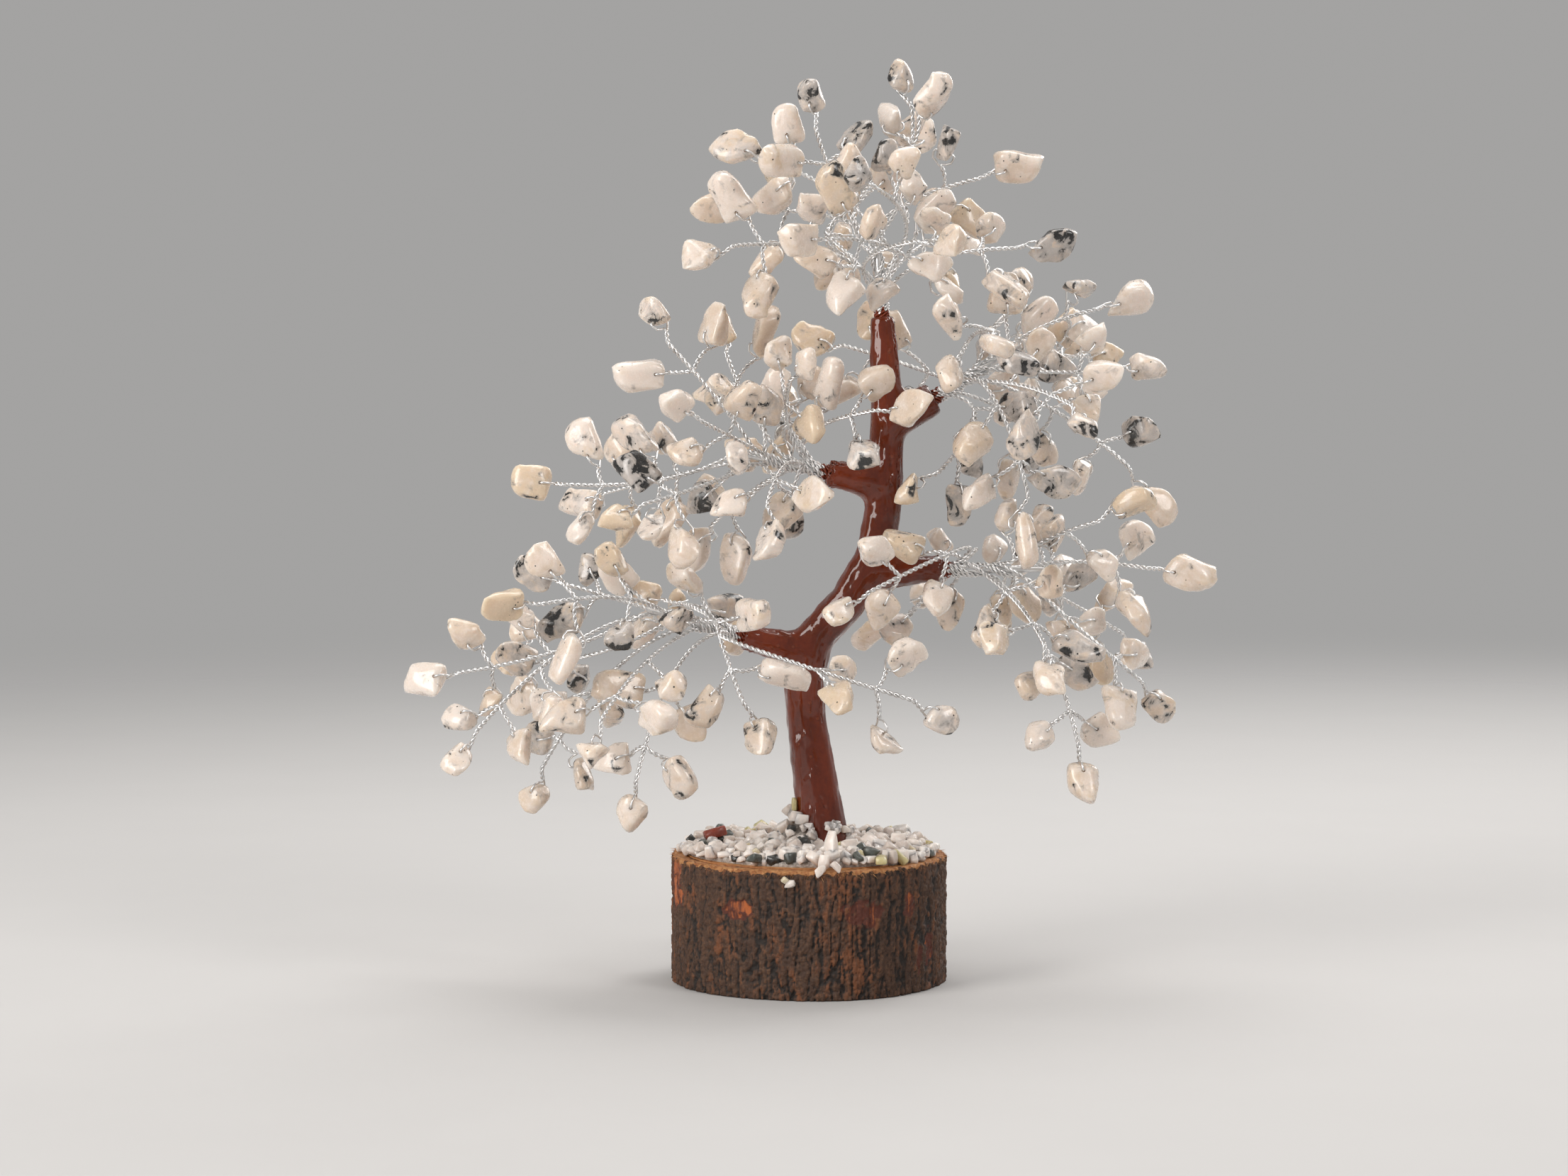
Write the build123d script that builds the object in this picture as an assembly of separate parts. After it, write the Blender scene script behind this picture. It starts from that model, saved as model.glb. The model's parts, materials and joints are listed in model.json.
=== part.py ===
from build123d import *
import math
import os
import random

import numpy as np

# A gemstone tree. Drilled moonstone chips are wired on branching sprigs, the sprigs are gathered in
# five boughs, and the boughs come out of a crooked lacquered trunk that stands on a slice of log.
# Millimetres, +Z up. The origin is the middle of the log's underside and -Y is the front.

# The slice of log
LOG_DIAMETER = 82.0
LOG_HEIGHT = 38.0
BARK_THICKNESS = 5.0
BARK_RIDGES = 17
FURROW_DEPTH = 1.9
WOOD_SIDES = 34

# The wire core's peg, which is glued into a blind hole in the log
PEG_DIAMETER = 10.0
PEG_DEPTH = 18.0
PEG_CLEARANCE = 0.25

# The trunk's line above the middle of the log's top: x, y, height and radius of the lacquer
TRUNK_LINE = (
    (5.2, 0.0, 0.0, 8.8),
    (4.5, 0.2, 6.0, 7.3),
    (1.6, 0.8, 25.7, 6.4),
    (-0.6, 1.2, 40.0, 5.9),
    (-1.3, 1.0, 52.2, 6.1),
    (2.3, 0.4, 64.8, 5.8),
    (12.2, -0.4, 76.0, 5.7),
    (20.2, -0.4, 89.0, 5.8),
    (22.6, 0.2, 104.5, 5.3),
    (23.3, 0.8, 118.0, 5.0),
    (23.7, 0.6, 131.3, 5.0),
    (22.6, 0.2, 152.0, 3.9),
    (22.0, 0.0, 160.5, 2.9),
)
COAT_THICKNESS = 1.4
TRUNK_SIDES = 8

# Where each stub grows from the trunk and where its mouth is, as x, y and height above the log
STUB_ROOTS = {
    "upper_right": (23.4, 0.6, 128.0),
    "upper_left": (23.4, 0.6, 110.5),
    "lower_right": (20.6, -0.3, 85.2),
    "lower_left": (1.2, 0.6, 59.5),
}
STUB_MOUTHS = {
    "upper_right": (37.3, 1.5, 136.2),
    "upper_left": (6.0, -1.5, 114.2),
    "lower_right": (40.2, -2.5, 85.3),
    "lower_left": (-19.2, -3.0, 65.4),
}
STUB_ROOT_RADIUS = 6.2
STUB_WAIST_RADIUS = 4.7
STUB_MOUTH_RADIUS = 3.3

# The boughs' bundles of twisted wire, and the gap at a mouth that lets a bundle bend
BEND_GAP = 0.45
BUNDLE_LENGTH = 32.0
BUNDLE_ROOT_RADIUS = 2.6
BUNDLE_END_RADIUS = 1.0
BUNDLE_SIDES = 6
FIRST_SPRIG_AT = 4.0
SPRIG_STEP = 0.9
LEAVE_SHARE = 0.36

# The twisted pair of wires that stems and twigs are made of
WIRE_RADIUS = 0.5
WIRE_SIDES = 3
WIRE_CLEARANCE = 0.2

# A sprig: how far its two pairs of twigs stand before its tip, how far a twig runs to its chip's hole
# and how wide it opens
PAIRS_BEFORE_TIP = (19.0, 37.0)
TWIG_RUNS = (10.0, 11.4, 12.8)
TWIG_SPREADS = (56.0, 46.0, 66.0)
STEM_STEPS = 3

# The chips: three sizes as length, width and thickness, and a drilled hole near one end
CHIP_SIZES = ((10.0, 8.8, 5.2), (12.2, 9.6, 5.8), (14.8, 10.2, 6.4))
SIZE_SHARES = (30, 45, 25)
CHIP_TAPER = 8.0
HOLE_FROM_END = 3.4

# Chip outlines, from the drilled end at 0 to the far end at 1, and across from -0.5 to 0.5
CHIP_OUTLINES = (
    ((0.0, -0.24), (0.48, -0.5), (1.0, 0.14), (0.22, 0.5)),
    ((0.0, -0.30), (0.70, -0.5), (1.0, 0.10), (0.24, 0.5)),
    ((0.0, -0.42), (0.94, -0.5), (1.0, 0.22), (0.12, 0.5)),
    ((0.0, -0.30), (0.84, -0.5), (1.0, 0.34), (0.50, 0.5)),
    ((0.0, -0.40), (0.72, -0.5), (1.0, -0.06), (0.18, 0.5)),
    ((0.0, -0.42), (1.0, -0.40), (0.86, 0.5), (0.06, 0.40)),
)
CHIP_COLOURS = ("milky", "flecked", "honey")
COLOUR_SHARES = (66, 22, 12)

# Sprig tips of each bough, as x, y, z from the mouth that the bough comes out of
SPRIG_TIPS = {
    "crown": (
        (8, 2, 70), (-22, -12, 62), (-41, 5, 50), (37, 8, 43), (-50, -18, 20), (-47, 22, 32),
        (47, -8, 20), (-4, -42, 37), (-20, -34, 22), (14, -38, 22), (14, 32, 54), (-15, 42, 25),
        (28, 40, 25),
    ),
    "upper_right": (
        (56, 0, 28), (59, -20, 8), (64, -5, -26), (18, -40, 19), (29, -24, -36), (-4, -24, -26),
        (54, 28, 14), (43, -40, -4), (35, 46, 24), (33, 28, -18), (-34, 32, 18), (46, 55, 2),
    ),
    "upper_left": (
        (-86, 0, -3), (-61, -27, -10), (-53, -5, 44), (-33, 22, 42), (-10, -22, 32), (-19, -32, -15),
        (-75, 32, -9), (19, -28, 20), (-41, -34, 18), (-15, 42, 19), (-40, 20, -22),
    ),
    "lower_left": (
        (-93, 0, -12), (-83, -20, -32), (-65, 10, -48), (-33, -22, -49), (57, -36, -18),
        (3, -30, -24), (-61, 8, 17), (-66, -30, 10), (-43, -46, -26), (-24, 36, 6), (-76, 40, -11),
    ),
    "lower_right": (
        (69, 0, -1), (65, -6, -38), (41, -18, -58), (53, -16, 17), (-29, -32, -8), (-15, 32, -21),
        (62, 30, -25), (30, -40, -24), (40, 38, 0), (24, 52, -16),
    ),
}

# Room that the layout keeps: at least and at best between neighbours, and more beside another bough
LEAST_ROOM = 0.5
AMPLE_ROOM = 2.5
BEND_ROOM = 4.0
STEM_SWINGS = (0, 25, -25, 50, -50, 75, -75, 100, -100)
STEM_BOWS = (0.42, 0.28, 0.56)
PAIR_ROLLS = (0, 15, -15, 30, -30, 45, -45, 60, -60, 75, -75, 90)
LAYOUT_SEED = 11

# The glue bed, which leaves a bare rim on the log, and the gravel
BARE_RIM = 6.0
BED_SIDES = 28
BED_THICKNESS = 1.6
MOUND_FOOT_RADIUS = 20.5
MOUND_TOP_RADIUS = 14.5
MOUND_HEIGHT = 3.4
FOOT_CLEARANCE = 0.25
GRAIN_LENGTH = 4.4
GRAIN_WIDTH = 3.6
GRAIN_HEIGHT = 2.8
GRAIN_TAPER = 16.0
GRAIN_SEATS = 66
SLOPE_GRAINS = 13
GRAIN_GAP = 0.1

LOG_TOP = np.array([0.0, 0.0, LOG_HEIGHT])
FRONT = np.array([0.0, -1.0, 0.0])
BED_RADIUS = LOG_DIAMETER / 2 - BARE_RIM
WIRE_LIFT = WIRE_RADIUS + WIRE_CLEARANCE
TWIG_START = 2 * WIRE_LIFT
ANY_STEM = -1
BUNDLE = -2
TRUNK = -1


# Small vector helpers
def unit(vector):
    return vector / np.linalg.norm(vector)


def turned(vector, axis, degrees):
    """A vector turned about a unit axis."""
    angle = math.radians(degrees)
    across = np.cross(axis, vector) * math.sin(angle)
    return vector * math.cos(angle) + across + axis * np.dot(axis, vector) * (1 - math.cos(angle))


def square_to(axis, hint):
    """The unit vector nearest to hint that is square to a unit axis."""
    return unit(hint - axis * np.dot(axis, hint))


def plane_at(origin, heading, across=(0.0, 1.0, 0.0)):
    return Plane(origin=tuple(origin), x_dir=tuple(across), z_dir=tuple(heading))


def ring_at(origin, heading, radius, sides):
    """The corners of a many-sided section square to a heading."""
    section = plane_at(origin, heading) * RegularPolygon(radius, sides)
    return [np.array(tuple(corner)) for corner in section.vertices()]


def flat(*corners):
    return Face(Wire.make_polygon([tuple(corner) for corner in corners]))


def skin(rings):
    """A solid with flat facets from ring to ring of corners and a flat cap at each end."""
    facets = [flat(*rings[0]), flat(*rings[-1])]
    for lower, upper in zip(rings, rings[1:]):
        for side in range(len(lower)):
            facets.append(flat(lower[side - 1], lower[side], upper[side]))
            facets.append(flat(lower[side - 1], upper[side], upper[side - 1]))
    return Solid(Shell(facets))


def tapered(foot_radius, top_radius, sides, height):
    """A many-sided post that narrows from its foot to its top."""
    drawn_in = (foot_radius - top_radius) * math.cos(math.pi / sides)
    taper = math.degrees(math.atan2(drawn_in, height))
    return extrude(RegularPolygon(foot_radius, sides), height, taper=taper)


# Layout: the trunk's line and the boughs' mouths
def trunk_points():
    return [LOG_TOP + np.array(station[:3]) for station in TRUNK_LINE]


def trunk_headings():
    """The trunk's direction at each station, upright at the foot."""
    points = trunk_points()
    middle = [unit(after - before) for before, after in zip(points, points[2:])]
    return [np.array([0.0, 0.0, 1.0])] + middle + [unit(points[-1] - points[-2])]


def bough_mouths():
    """Each bough's mouth on the trunk and the direction in which the bough leaves it."""
    mouths = {"crown": (trunk_points()[-1], trunk_headings()[-1])}
    for name, root in STUB_ROOTS.items():
        mouth = np.array(STUB_MOUTHS[name])
        mouths[name] = (LOG_TOP + mouth, unit(mouth - np.array(root)))
    return mouths


class Room:
    """Rounded rods that are already placed, to ask how much room is left beside them."""

    def __init__(self):
        self.starts = np.zeros((0, 3))
        self.ends = np.zeros((0, 3))
        self.radii = np.zeros(0)
        self.boughs = np.zeros(0, dtype=int)
        self.stem_of = np.zeros(0, dtype=int)

    def add(self, start, end, radius, bough, stem_of=ANY_STEM):
        self.starts = np.vstack([self.starts, start])
        self.ends = np.vstack([self.ends, end])
        self.radii = np.append(self.radii, radius)
        self.boughs = np.append(self.boughs, bough)
        self.stem_of = np.append(self.stem_of, stem_of)

    def left(self, start, end, radius, bough, leave_out=None):
        """The least gap from a rod to the others, with more asked for beside another bough."""
        along = end - start
        others = self.ends - self.starts
        apart = start - self.starts
        length = along @ along
        lengths = np.einsum("ij,ij->i", others, others)
        dots = others @ along
        behind = np.einsum("ij,ij->i", others, apart)
        ahead = apart @ along
        spread = np.maximum(length * lengths - dots * dots, 1e-9)
        here = np.clip((dots * behind - ahead * lengths) / spread, 0, 1)
        there = np.clip((dots * here + behind) / lengths, 0, 1)
        here = np.clip((dots * there - ahead) / length, 0, 1)
        reach = apart + along * here[:, None] - others * there[:, None]
        gaps = np.sqrt(np.einsum("ij,ij->i", reach, reach)) - self.radii - radius
        gaps = gaps - BEND_ROOM * (self.boughs != bough)
        if leave_out is not None:
            gaps = np.append(gaps[self.stem_of != leave_out], AMPLE_ROOM)
        return gaps.min()


def roomiest(choices):
    """The first of some (room, thing) choices that has ample room, or else the one with the most."""
    return max(choices, key=lambda choice: min(choice[0], AMPLE_ROOM))


# Layout: stems
def bundle_radius(run):
    return BUNDLE_ROOT_RADIUS + (BUNDLE_END_RADIUS - BUNDLE_ROOT_RADIUS) * run / BUNDLE_LENGTH


def stem_line(root, heading, run, tip, swing, bow):
    """A stem's points: off the side of its bundle, then in one bend to the tip."""
    side = turned(square_to(heading, tip - root), heading, swing)
    start = root + heading * run + side * (bundle_radius(run) + WIRE_LIFT)
    bend = start + unit(heading + side) * bow * np.linalg.norm(tip - start)
    steps = np.linspace(0, 1, STEM_STEPS + 1)
    return [start * (1 - t) ** 2 + bend * 2 * t * (1 - t) + tip * t * t for t in steps]


def stem_room(room, points, bough):
    first = room.left(points[0], points[1], WIRE_RADIUS, bough, leave_out=BUNDLE)
    return min([first] + [room.left(*ends, WIRE_RADIUS, bough) for ends in zip(points[1:], points[2:])])


def lay_stems(room):
    """Every sprig's stem. Those that reach least far along their bough leave its bundle first."""
    sprigs = []
    mouths = bough_mouths()
    for bough, (name, tips) in enumerate(SPRIG_TIPS.items()):
        mouth, heading = mouths[name]
        root = mouth + heading * BEND_GAP
        room.add(root, root + heading * BUNDLE_LENGTH, BUNDLE_ROOT_RADIUS, bough, BUNDLE)
        run = FIRST_SPRIG_AT
        for offset in sorted([np.array(tip, dtype=float) for tip in tips], key=lambda tip: tip @ heading):
            run = min(max(run + SPRIG_STEP, LEAVE_SHARE * offset @ heading), BUNDLE_LENGTH)
            tip = mouth + offset
            ways = [(swing, bow) for bow in STEM_BOWS for swing in STEM_SWINGS]
            lines = [stem_line(root, heading, run, tip, *way) for way in ways]
            points = roomiest([(stem_room(room, line, bough), line) for line in lines])[1]
            for start, end in zip(points, points[1:]):
                room.add(start, end, WIRE_RADIUS, bough, len(sprigs))
            sprigs.append({"bough": bough, "name": name, "points": points, "chips": []})
    return sprigs


# Layout: chips
def from_tip(points, distance):
    """The point and direction on a line at a distance before its end."""
    for before, after in zip(points[-2::-1], points[::-1]):
        length = np.linalg.norm(after - before)
        if distance <= length:
            return after + (before - after) * distance / length, unit(after - before)
        distance -= length
    return points[0], unit(points[1] - points[0])


def hung_chip(node, along, facing, run, look):
    """A chip whose wire runs from a node over its face and down through its hole."""
    lift = CHIP_SIZES[look["size"]][2] / 2 + WIRE_LIFT
    hole = node + along * run - facing * lift
    return {"node": node, "along": along, "facing": facing, "run": run, "hole": hole, "lift": lift, **look}


def chip_rod(chip):
    """A rounded rod that holds a chip: its two end points and its radius."""
    length, width, _ = CHIP_SIZES[chip["size"]]
    inset = 0.35 * width
    near = chip["hole"] + chip["along"] * (inset - HOLE_FROM_END)
    far = chip["hole"] + chip["along"] * (length - HOLE_FROM_END - inset)
    return near, far, 0.53 * width


def twig_rod(chip):
    start = chip["node"] + chip["along"] * TWIG_START
    return start, chip["node"] + chip["along"] * chip["run"], WIRE_RADIUS


def chip_look(dice):
    """One chip's outline, size, colour and chance turn."""
    return {
        "outline": dice.randrange(len(CHIP_OUTLINES)),
        "size": dice.choices(range(len(CHIP_SIZES)), SIZE_SHARES)[0],
        "colour": dice.choices(CHIP_COLOURS, COLOUR_SHARES)[0],
        "turn": dice.uniform(-40, 40),
    }


def outward(point):
    """The way a chip would face: away from the trunk and towards the front."""
    trunk = min(trunk_points(), key=lambda station: abs(station[2] - point[2]))
    away = (point - trunk) * (1, 1, 0)
    return unit(unit(away) + 1.2 * FRONT + (0, 0, 0.15))


def lay_tip(room, sprig, number, dice):
    """The chip at the end of a stem, turned to where it has the most room."""
    look = chip_look(dice)
    end = sprig["points"][-1]
    along = unit(end - sprig["points"][-2])
    choices = []
    for roll in PAIR_ROLLS:
        facing = turned(square_to(along, outward(end)), along, look["turn"] + 2 * roll)
        chip = hung_chip(end, along, facing, 0, look)
        choices.append((room.left(*chip_rod(chip), sprig["bough"], leave_out=number), chip))
    chip = roomiest(choices)[1]
    sprig["chips"].append(chip)
    room.add(*chip_rod(chip), sprig["bough"])


def twig_chip(node, along, side, spread, run, look):
    """A chip on a twig that leaves a stem to one side."""
    angle = math.radians(spread)
    way = along * math.cos(angle) + side * math.sin(angle)
    facing = turned(square_to(way, outward(node + way * run)), way, look["turn"])
    return hung_chip(node, way, facing, run, look)


def lay_pair(room, sprig, number, before_tip, dice):
    """Two chips on opposite twigs, turned about the stem to where they have the most room."""
    node, along = from_tip(sprig["points"], before_tip)
    across = unit(np.cross(along, outward(node)))
    looks = [chip_look(dice), chip_look(dice)]
    runs = [dice.choice(TWIG_RUNS), dice.choice(TWIG_RUNS)]

    def room_of(chip):
        beside = room.left(*chip_rod(chip), sprig["bough"])
        return min(beside, room.left(*twig_rod(chip), sprig["bough"], leave_out=number))

    choices = []
    for spread in TWIG_SPREADS:
        for roll in PAIR_ROLLS:
            side = turned(across, along, roll)
            pair = [twig_chip(node, along, side * sign, spread, run, look)
                    for sign, run, look in zip((1, -1), runs, looks)]
            rooms = [room_of(chip) for chip in pair]
            fits = [chip for chip, left in zip(pair, rooms) if left >= LEAST_ROOM]
            choices.append((min(rooms) if len(fits) == 2 else len(fits) * LEAST_ROOM / 2, fits))
    for chip in roomiest(choices)[1]:
        sprig["chips"].append(chip)
        room.add(*chip_rod(chip), sprig["bough"])
        room.add(*twig_rod(chip), sprig["bough"])


def lay_out():
    """All sprigs, each with its stem's points and its chips."""
    room = Room()
    points = trunk_points()
    for start, end, station in zip(points, points[1:], TRUNK_LINE):
        room.add(start, end, station[3], TRUNK)
    for name, root in STUB_ROOTS.items():
        room.add(LOG_TOP + np.array(root), LOG_TOP + np.array(STUB_MOUTHS[name]), STUB_MOUTH_RADIUS, TRUNK)
    sprigs = lay_stems(room)
    dice = random.Random(LAYOUT_SEED)
    for number, sprig in enumerate(sprigs):
        lay_tip(room, sprig, number, dice)
    for before_tip in PAIRS_BEFORE_TIP:
        for number, sprig in enumerate(sprigs):
            lay_pair(room, sprig, number, before_tip, dice)
    return sprigs


# Solids: the log
def ring_of(radius, angles):
    """Corners on the log's slightly uneven round, one for each angle in degrees."""
    corners = []
    for degrees in angles:
        angle = math.radians(degrees)
        reach = radius + LOG_DIAMETER * (0.008 * math.cos(2 * angle + 0.7) + 0.004 * math.cos(5 * angle))
        corners.append((reach * math.cos(angle), reach * math.sin(angle)))
    return corners


def wood_face():
    angles = [side * 360 / WOOD_SIDES for side in range(WOOD_SIDES)]
    return make_face(Polyline(*ring_of(LOG_DIAMETER / 2 - BARK_THICKNESS, angles), close=True))


def log_core():
    foot_x, foot_y = TRUNK_LINE[0][:2]
    deep = PEG_DEPTH + PEG_CLEARANCE
    hole = Pos(foot_x, foot_y, LOG_HEIGHT - deep / 2) * Cylinder(PEG_DIAMETER / 2 + PEG_CLEARANCE, deep)
    return extrude(wood_face(), LOG_HEIGHT) - hole


def bark():
    """A jacket with upright furrows, wide ridges and uneven depth."""
    step = 360 / BARK_RIDGES
    corners = []
    for ridge in range(BARK_RIDGES):
        depth = FURROW_DEPTH * (0.75 + 0.25 * math.cos(2.4 * ridge))
        lean = 0.08 * math.sin(1.7 * ridge)
        corners += ring_of(LOG_DIAMETER / 2 - depth, [(ridge + lean) * step])
        corners += ring_of(LOG_DIAMETER / 2, [(ridge + 0.24 + lean) * step, (ridge + 0.74 + lean) * step])
    return extrude(make_face(Polyline(*corners, close=True)) - wood_face(), LOG_HEIGHT)


# Solids: the trunk
def limb(points, headings, radii):
    """A many-sided limb along a line."""
    return skin([ring_at(at, way, radius, TRUNK_SIDES) for at, way, radius in zip(points, headings, radii)])


def trunk_form(inset):
    """The trunk and its stubs, drawn in by an inset."""
    form = limb(trunk_points(), trunk_headings(), [station[3] - inset for station in TRUNK_LINE])
    for name, (mouth, heading) in bough_mouths().items():
        if name in STUB_ROOTS:
            root = LOG_TOP + np.array(STUB_ROOTS[name])
            radii = (STUB_ROOT_RADIUS - inset, STUB_WAIST_RADIUS - inset, STUB_MOUTH_RADIUS - inset)
            form += limb((root, (root + mouth) / 2, mouth), [heading] * 3, radii)
    return form


def trunk_core():
    """The bundled wires inside the lacquer, with the peg that goes into the log."""
    foot_x, foot_y = TRUNK_LINE[0][:2]
    peg = Pos(foot_x, foot_y, LOG_HEIGHT - PEG_DEPTH / 2) * Cylinder(PEG_DIAMETER / 2, PEG_DEPTH)
    return trunk_form(COAT_THICKNESS) + peg


# Solids: the glue bed and the gravel
def glue_bed():
    """A thin bed over the log's top with a low mound round the trunk's foot."""
    foot_x, foot_y, _, foot_radius = TRUNK_LINE[0]
    foot = Pos(foot_x, foot_y, LOG_HEIGHT)
    bed = Pos(0, 0, LOG_HEIGHT) * extrude(RegularPolygon(BED_RADIUS, BED_SIDES), BED_THICKNESS)
    mound = Pos(0, 0, BED_THICKNESS) * tapered(MOUND_FOOT_RADIUS, MOUND_TOP_RADIUS, BED_SIDES, MOUND_HEIGHT)
    hole_radius = foot_radius + FOOT_CLEARANCE
    hole = extrude(RegularPolygon(hole_radius, TRUNK_SIDES, major_radius=False), BED_THICKNESS + MOUND_HEIGHT)
    return bed + foot * mound - foot * hole


def grain_solid():
    """A broken grain, flat underneath."""
    half_length, half_width = GRAIN_LENGTH / 2, GRAIN_WIDTH / 2
    corners = ((-half_length, -0.6 * half_width), (0.4 * half_length, -half_width),
               (half_length, 0.5 * half_width), (-0.5 * half_length, half_width))
    return extrude(make_face(Polyline(*corners, close=True)), GRAIN_HEIGHT, taper=GRAIN_TAPER)


def grain_places():
    """Seats on the bed and the mound's top in a sunflower spiral, and a ring on the mound's slope."""
    foot_x, foot_y, _, foot_radius = TRUNK_LINE[0]
    half = GRAIN_LENGTH / 2
    bed_top = LOG_HEIGHT + BED_THICKNESS + GRAIN_GAP
    places = []
    for seat in range(GRAIN_SEATS):
        reach = (BED_RADIUS - half) * math.sqrt((seat + 0.5) / GRAIN_SEATS)
        angle = seat * math.radians(137.5)
        x, y = reach * math.cos(angle), reach * math.sin(angle)
        from_foot = math.hypot(x - foot_x, y - foot_y)
        on_mound = foot_radius + FOOT_CLEARANCE + half < from_foot < MOUND_TOP_RADIUS - 0.2 * half
        if on_mound or from_foot > MOUND_FOOT_RADIUS + half:
            places.append(Location((x, y, bed_top + MOUND_HEIGHT * on_mound), (0, 0, 77 * seat)))
    slope = math.degrees(math.atan2(MOUND_HEIGHT, MOUND_FOOT_RADIUS - MOUND_TOP_RADIUS))
    middle = Pos((MOUND_FOOT_RADIUS + MOUND_TOP_RADIUS) / 2, 0, bed_top + MOUND_HEIGHT / 2)
    for seat in range(SLOPE_GRAINS):
        about = Pos(foot_x, foot_y, 0) * Rot(0, 0, seat * 360 / SLOPE_GRAINS)
        places.append(about * middle * Rot(0, slope, 0))
    return places


# Solids: bundles, stems, twigs and chips
def wire(points):
    """A wire along a line of points, mitred where it turns."""
    points = [np.array(point) for point in points]
    ways = [unit(after - before) for before, after in zip(points, points[1:])]
    rings = [ring_at(points[0], ways[0], WIRE_RADIUS, WIRE_SIDES)]
    for at, before, after in zip(points[1:], ways, ways[1:] + ways[-1:]):
        mitre = unit(before + after)
        rings.append([corner + before * ((at - corner) @ mitre) / (before @ mitre) for corner in rings[-1]])
    return skin(rings)


def bundle_solid(mouth, heading):
    post = tapered(BUNDLE_ROOT_RADIUS, BUNDLE_END_RADIUS, BUNDLE_SIDES, BUNDLE_LENGTH)
    return post.moved(Location(plane_at(mouth + heading * BEND_GAP, heading)))


def stem_solid(sprig):
    """A stem that ends in a hook down through its tip chip's hole."""
    tip = sprig["chips"][0]
    through = sprig["points"][-1] - tip["facing"] * 2 * tip["lift"]
    return wire(sprig["points"] + [through])


def twig_solid(run, lift):
    """A twig with its hook, from a chip's hole as origin: +X along the chip and +Z out of its face."""
    return wire([(TWIG_START - run, 0, lift), (0, 0, lift), (0, 0, -lift)])


def chip_solid(outline, size):
    """A chip round its drilled hole: +X along the chip and +Z out of the face that the wire crosses."""
    length, width, thickness = CHIP_SIZES[size]
    corners = [(x * length - HOLE_FROM_END, y * width) for x, y in CHIP_OUTLINES[outline]]
    blank = extrude(make_face(Polyline(*corners, close=True)), thickness, taper=CHIP_TAPER)
    hole = extrude(RegularPolygon(WIRE_LIFT, WIRE_SIDES, major_radius=False), thickness)
    return Pos(0, 0, -thickness / 2) * (blank - hole)


def at_chip(chip):
    return Location(plane_at(chip["hole"], chip["facing"], chip["along"]))


def write(name, solids):
    export_step(Compound(children=solids), os.path.join("parts", name + ".step"))
    print(f"{name}: {len(solids)} solids")


# Build and write every node
os.makedirs("parts", exist_ok=True)
core = trunk_core()
write("log_core", [log_core()])
write("bark", [bark()])
write("trunk_core", core.solids())
write("trunk_coat", (trunk_form(0) - core).solids())
write("glue_bed", glue_bed().solids())

grain = grain_solid()
grains = [grain.moved(place) for place in grain_places()]
dark = grains[3::7]
amber = grains[5::14]
write("gravel_dark", dark)
write("gravel_amber", amber)
write("gravel_white", [one for number, one in enumerate(grains) if number % 7 != 3 and number % 14 != 5])

sprigs = lay_out()
outlines = range(len(CHIP_OUTLINES))
chip_blanks = [[chip_solid(outline, size) for size in range(len(CHIP_SIZES))] for outline in outlines]
twig_blanks = {}
for name, (mouth, heading) in bough_mouths().items():
    own = [sprig for sprig in sprigs if sprig["name"] == name]
    chips = [chip for sprig in own for chip in sprig["chips"]]
    on_twigs = [chip for chip in chips if chip["run"] > 0]
    for chip in on_twigs:
        key = chip["run"], chip["lift"]
        if key not in twig_blanks:
            twig_blanks[key] = twig_solid(*key)
    write(name + "_bundle", [bundle_solid(mouth, heading)])
    write(name + "_stems", [stem_solid(sprig) for sprig in own])
    write(name + "_twigs", [twig_blanks[chip["run"], chip["lift"]].moved(at_chip(chip)) for chip in on_twigs])
    for colour in CHIP_COLOURS:
        alike = [chip for chip in chips if chip["colour"] == colour]
        write(name + "_chips_" + colour,
              [chip_blanks[chip["outline"]][chip["size"]].moved(at_chip(chip)) for chip in alike])
print("sprigs", len(sprigs), "chips", sum(len(sprig["chips"]) for sprig in sprigs))
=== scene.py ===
# %% [markdown]
# # A gemstone tree
# Drilled moonstone chips hang on sprigs of twisted silver wire. The sprigs are gathered in five boughs,
# the boughs come out of a crooked lacquered trunk, and the trunk stands on a slice of log with gravel
# on it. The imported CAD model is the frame: it says where everything is, and every piece that is made
# here takes its place from it.

# %% Load the frame
import bmesh
import bpy
import json
import math
import random
import numpy as np
from mathutils import Matrix, Vector, noise

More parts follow.
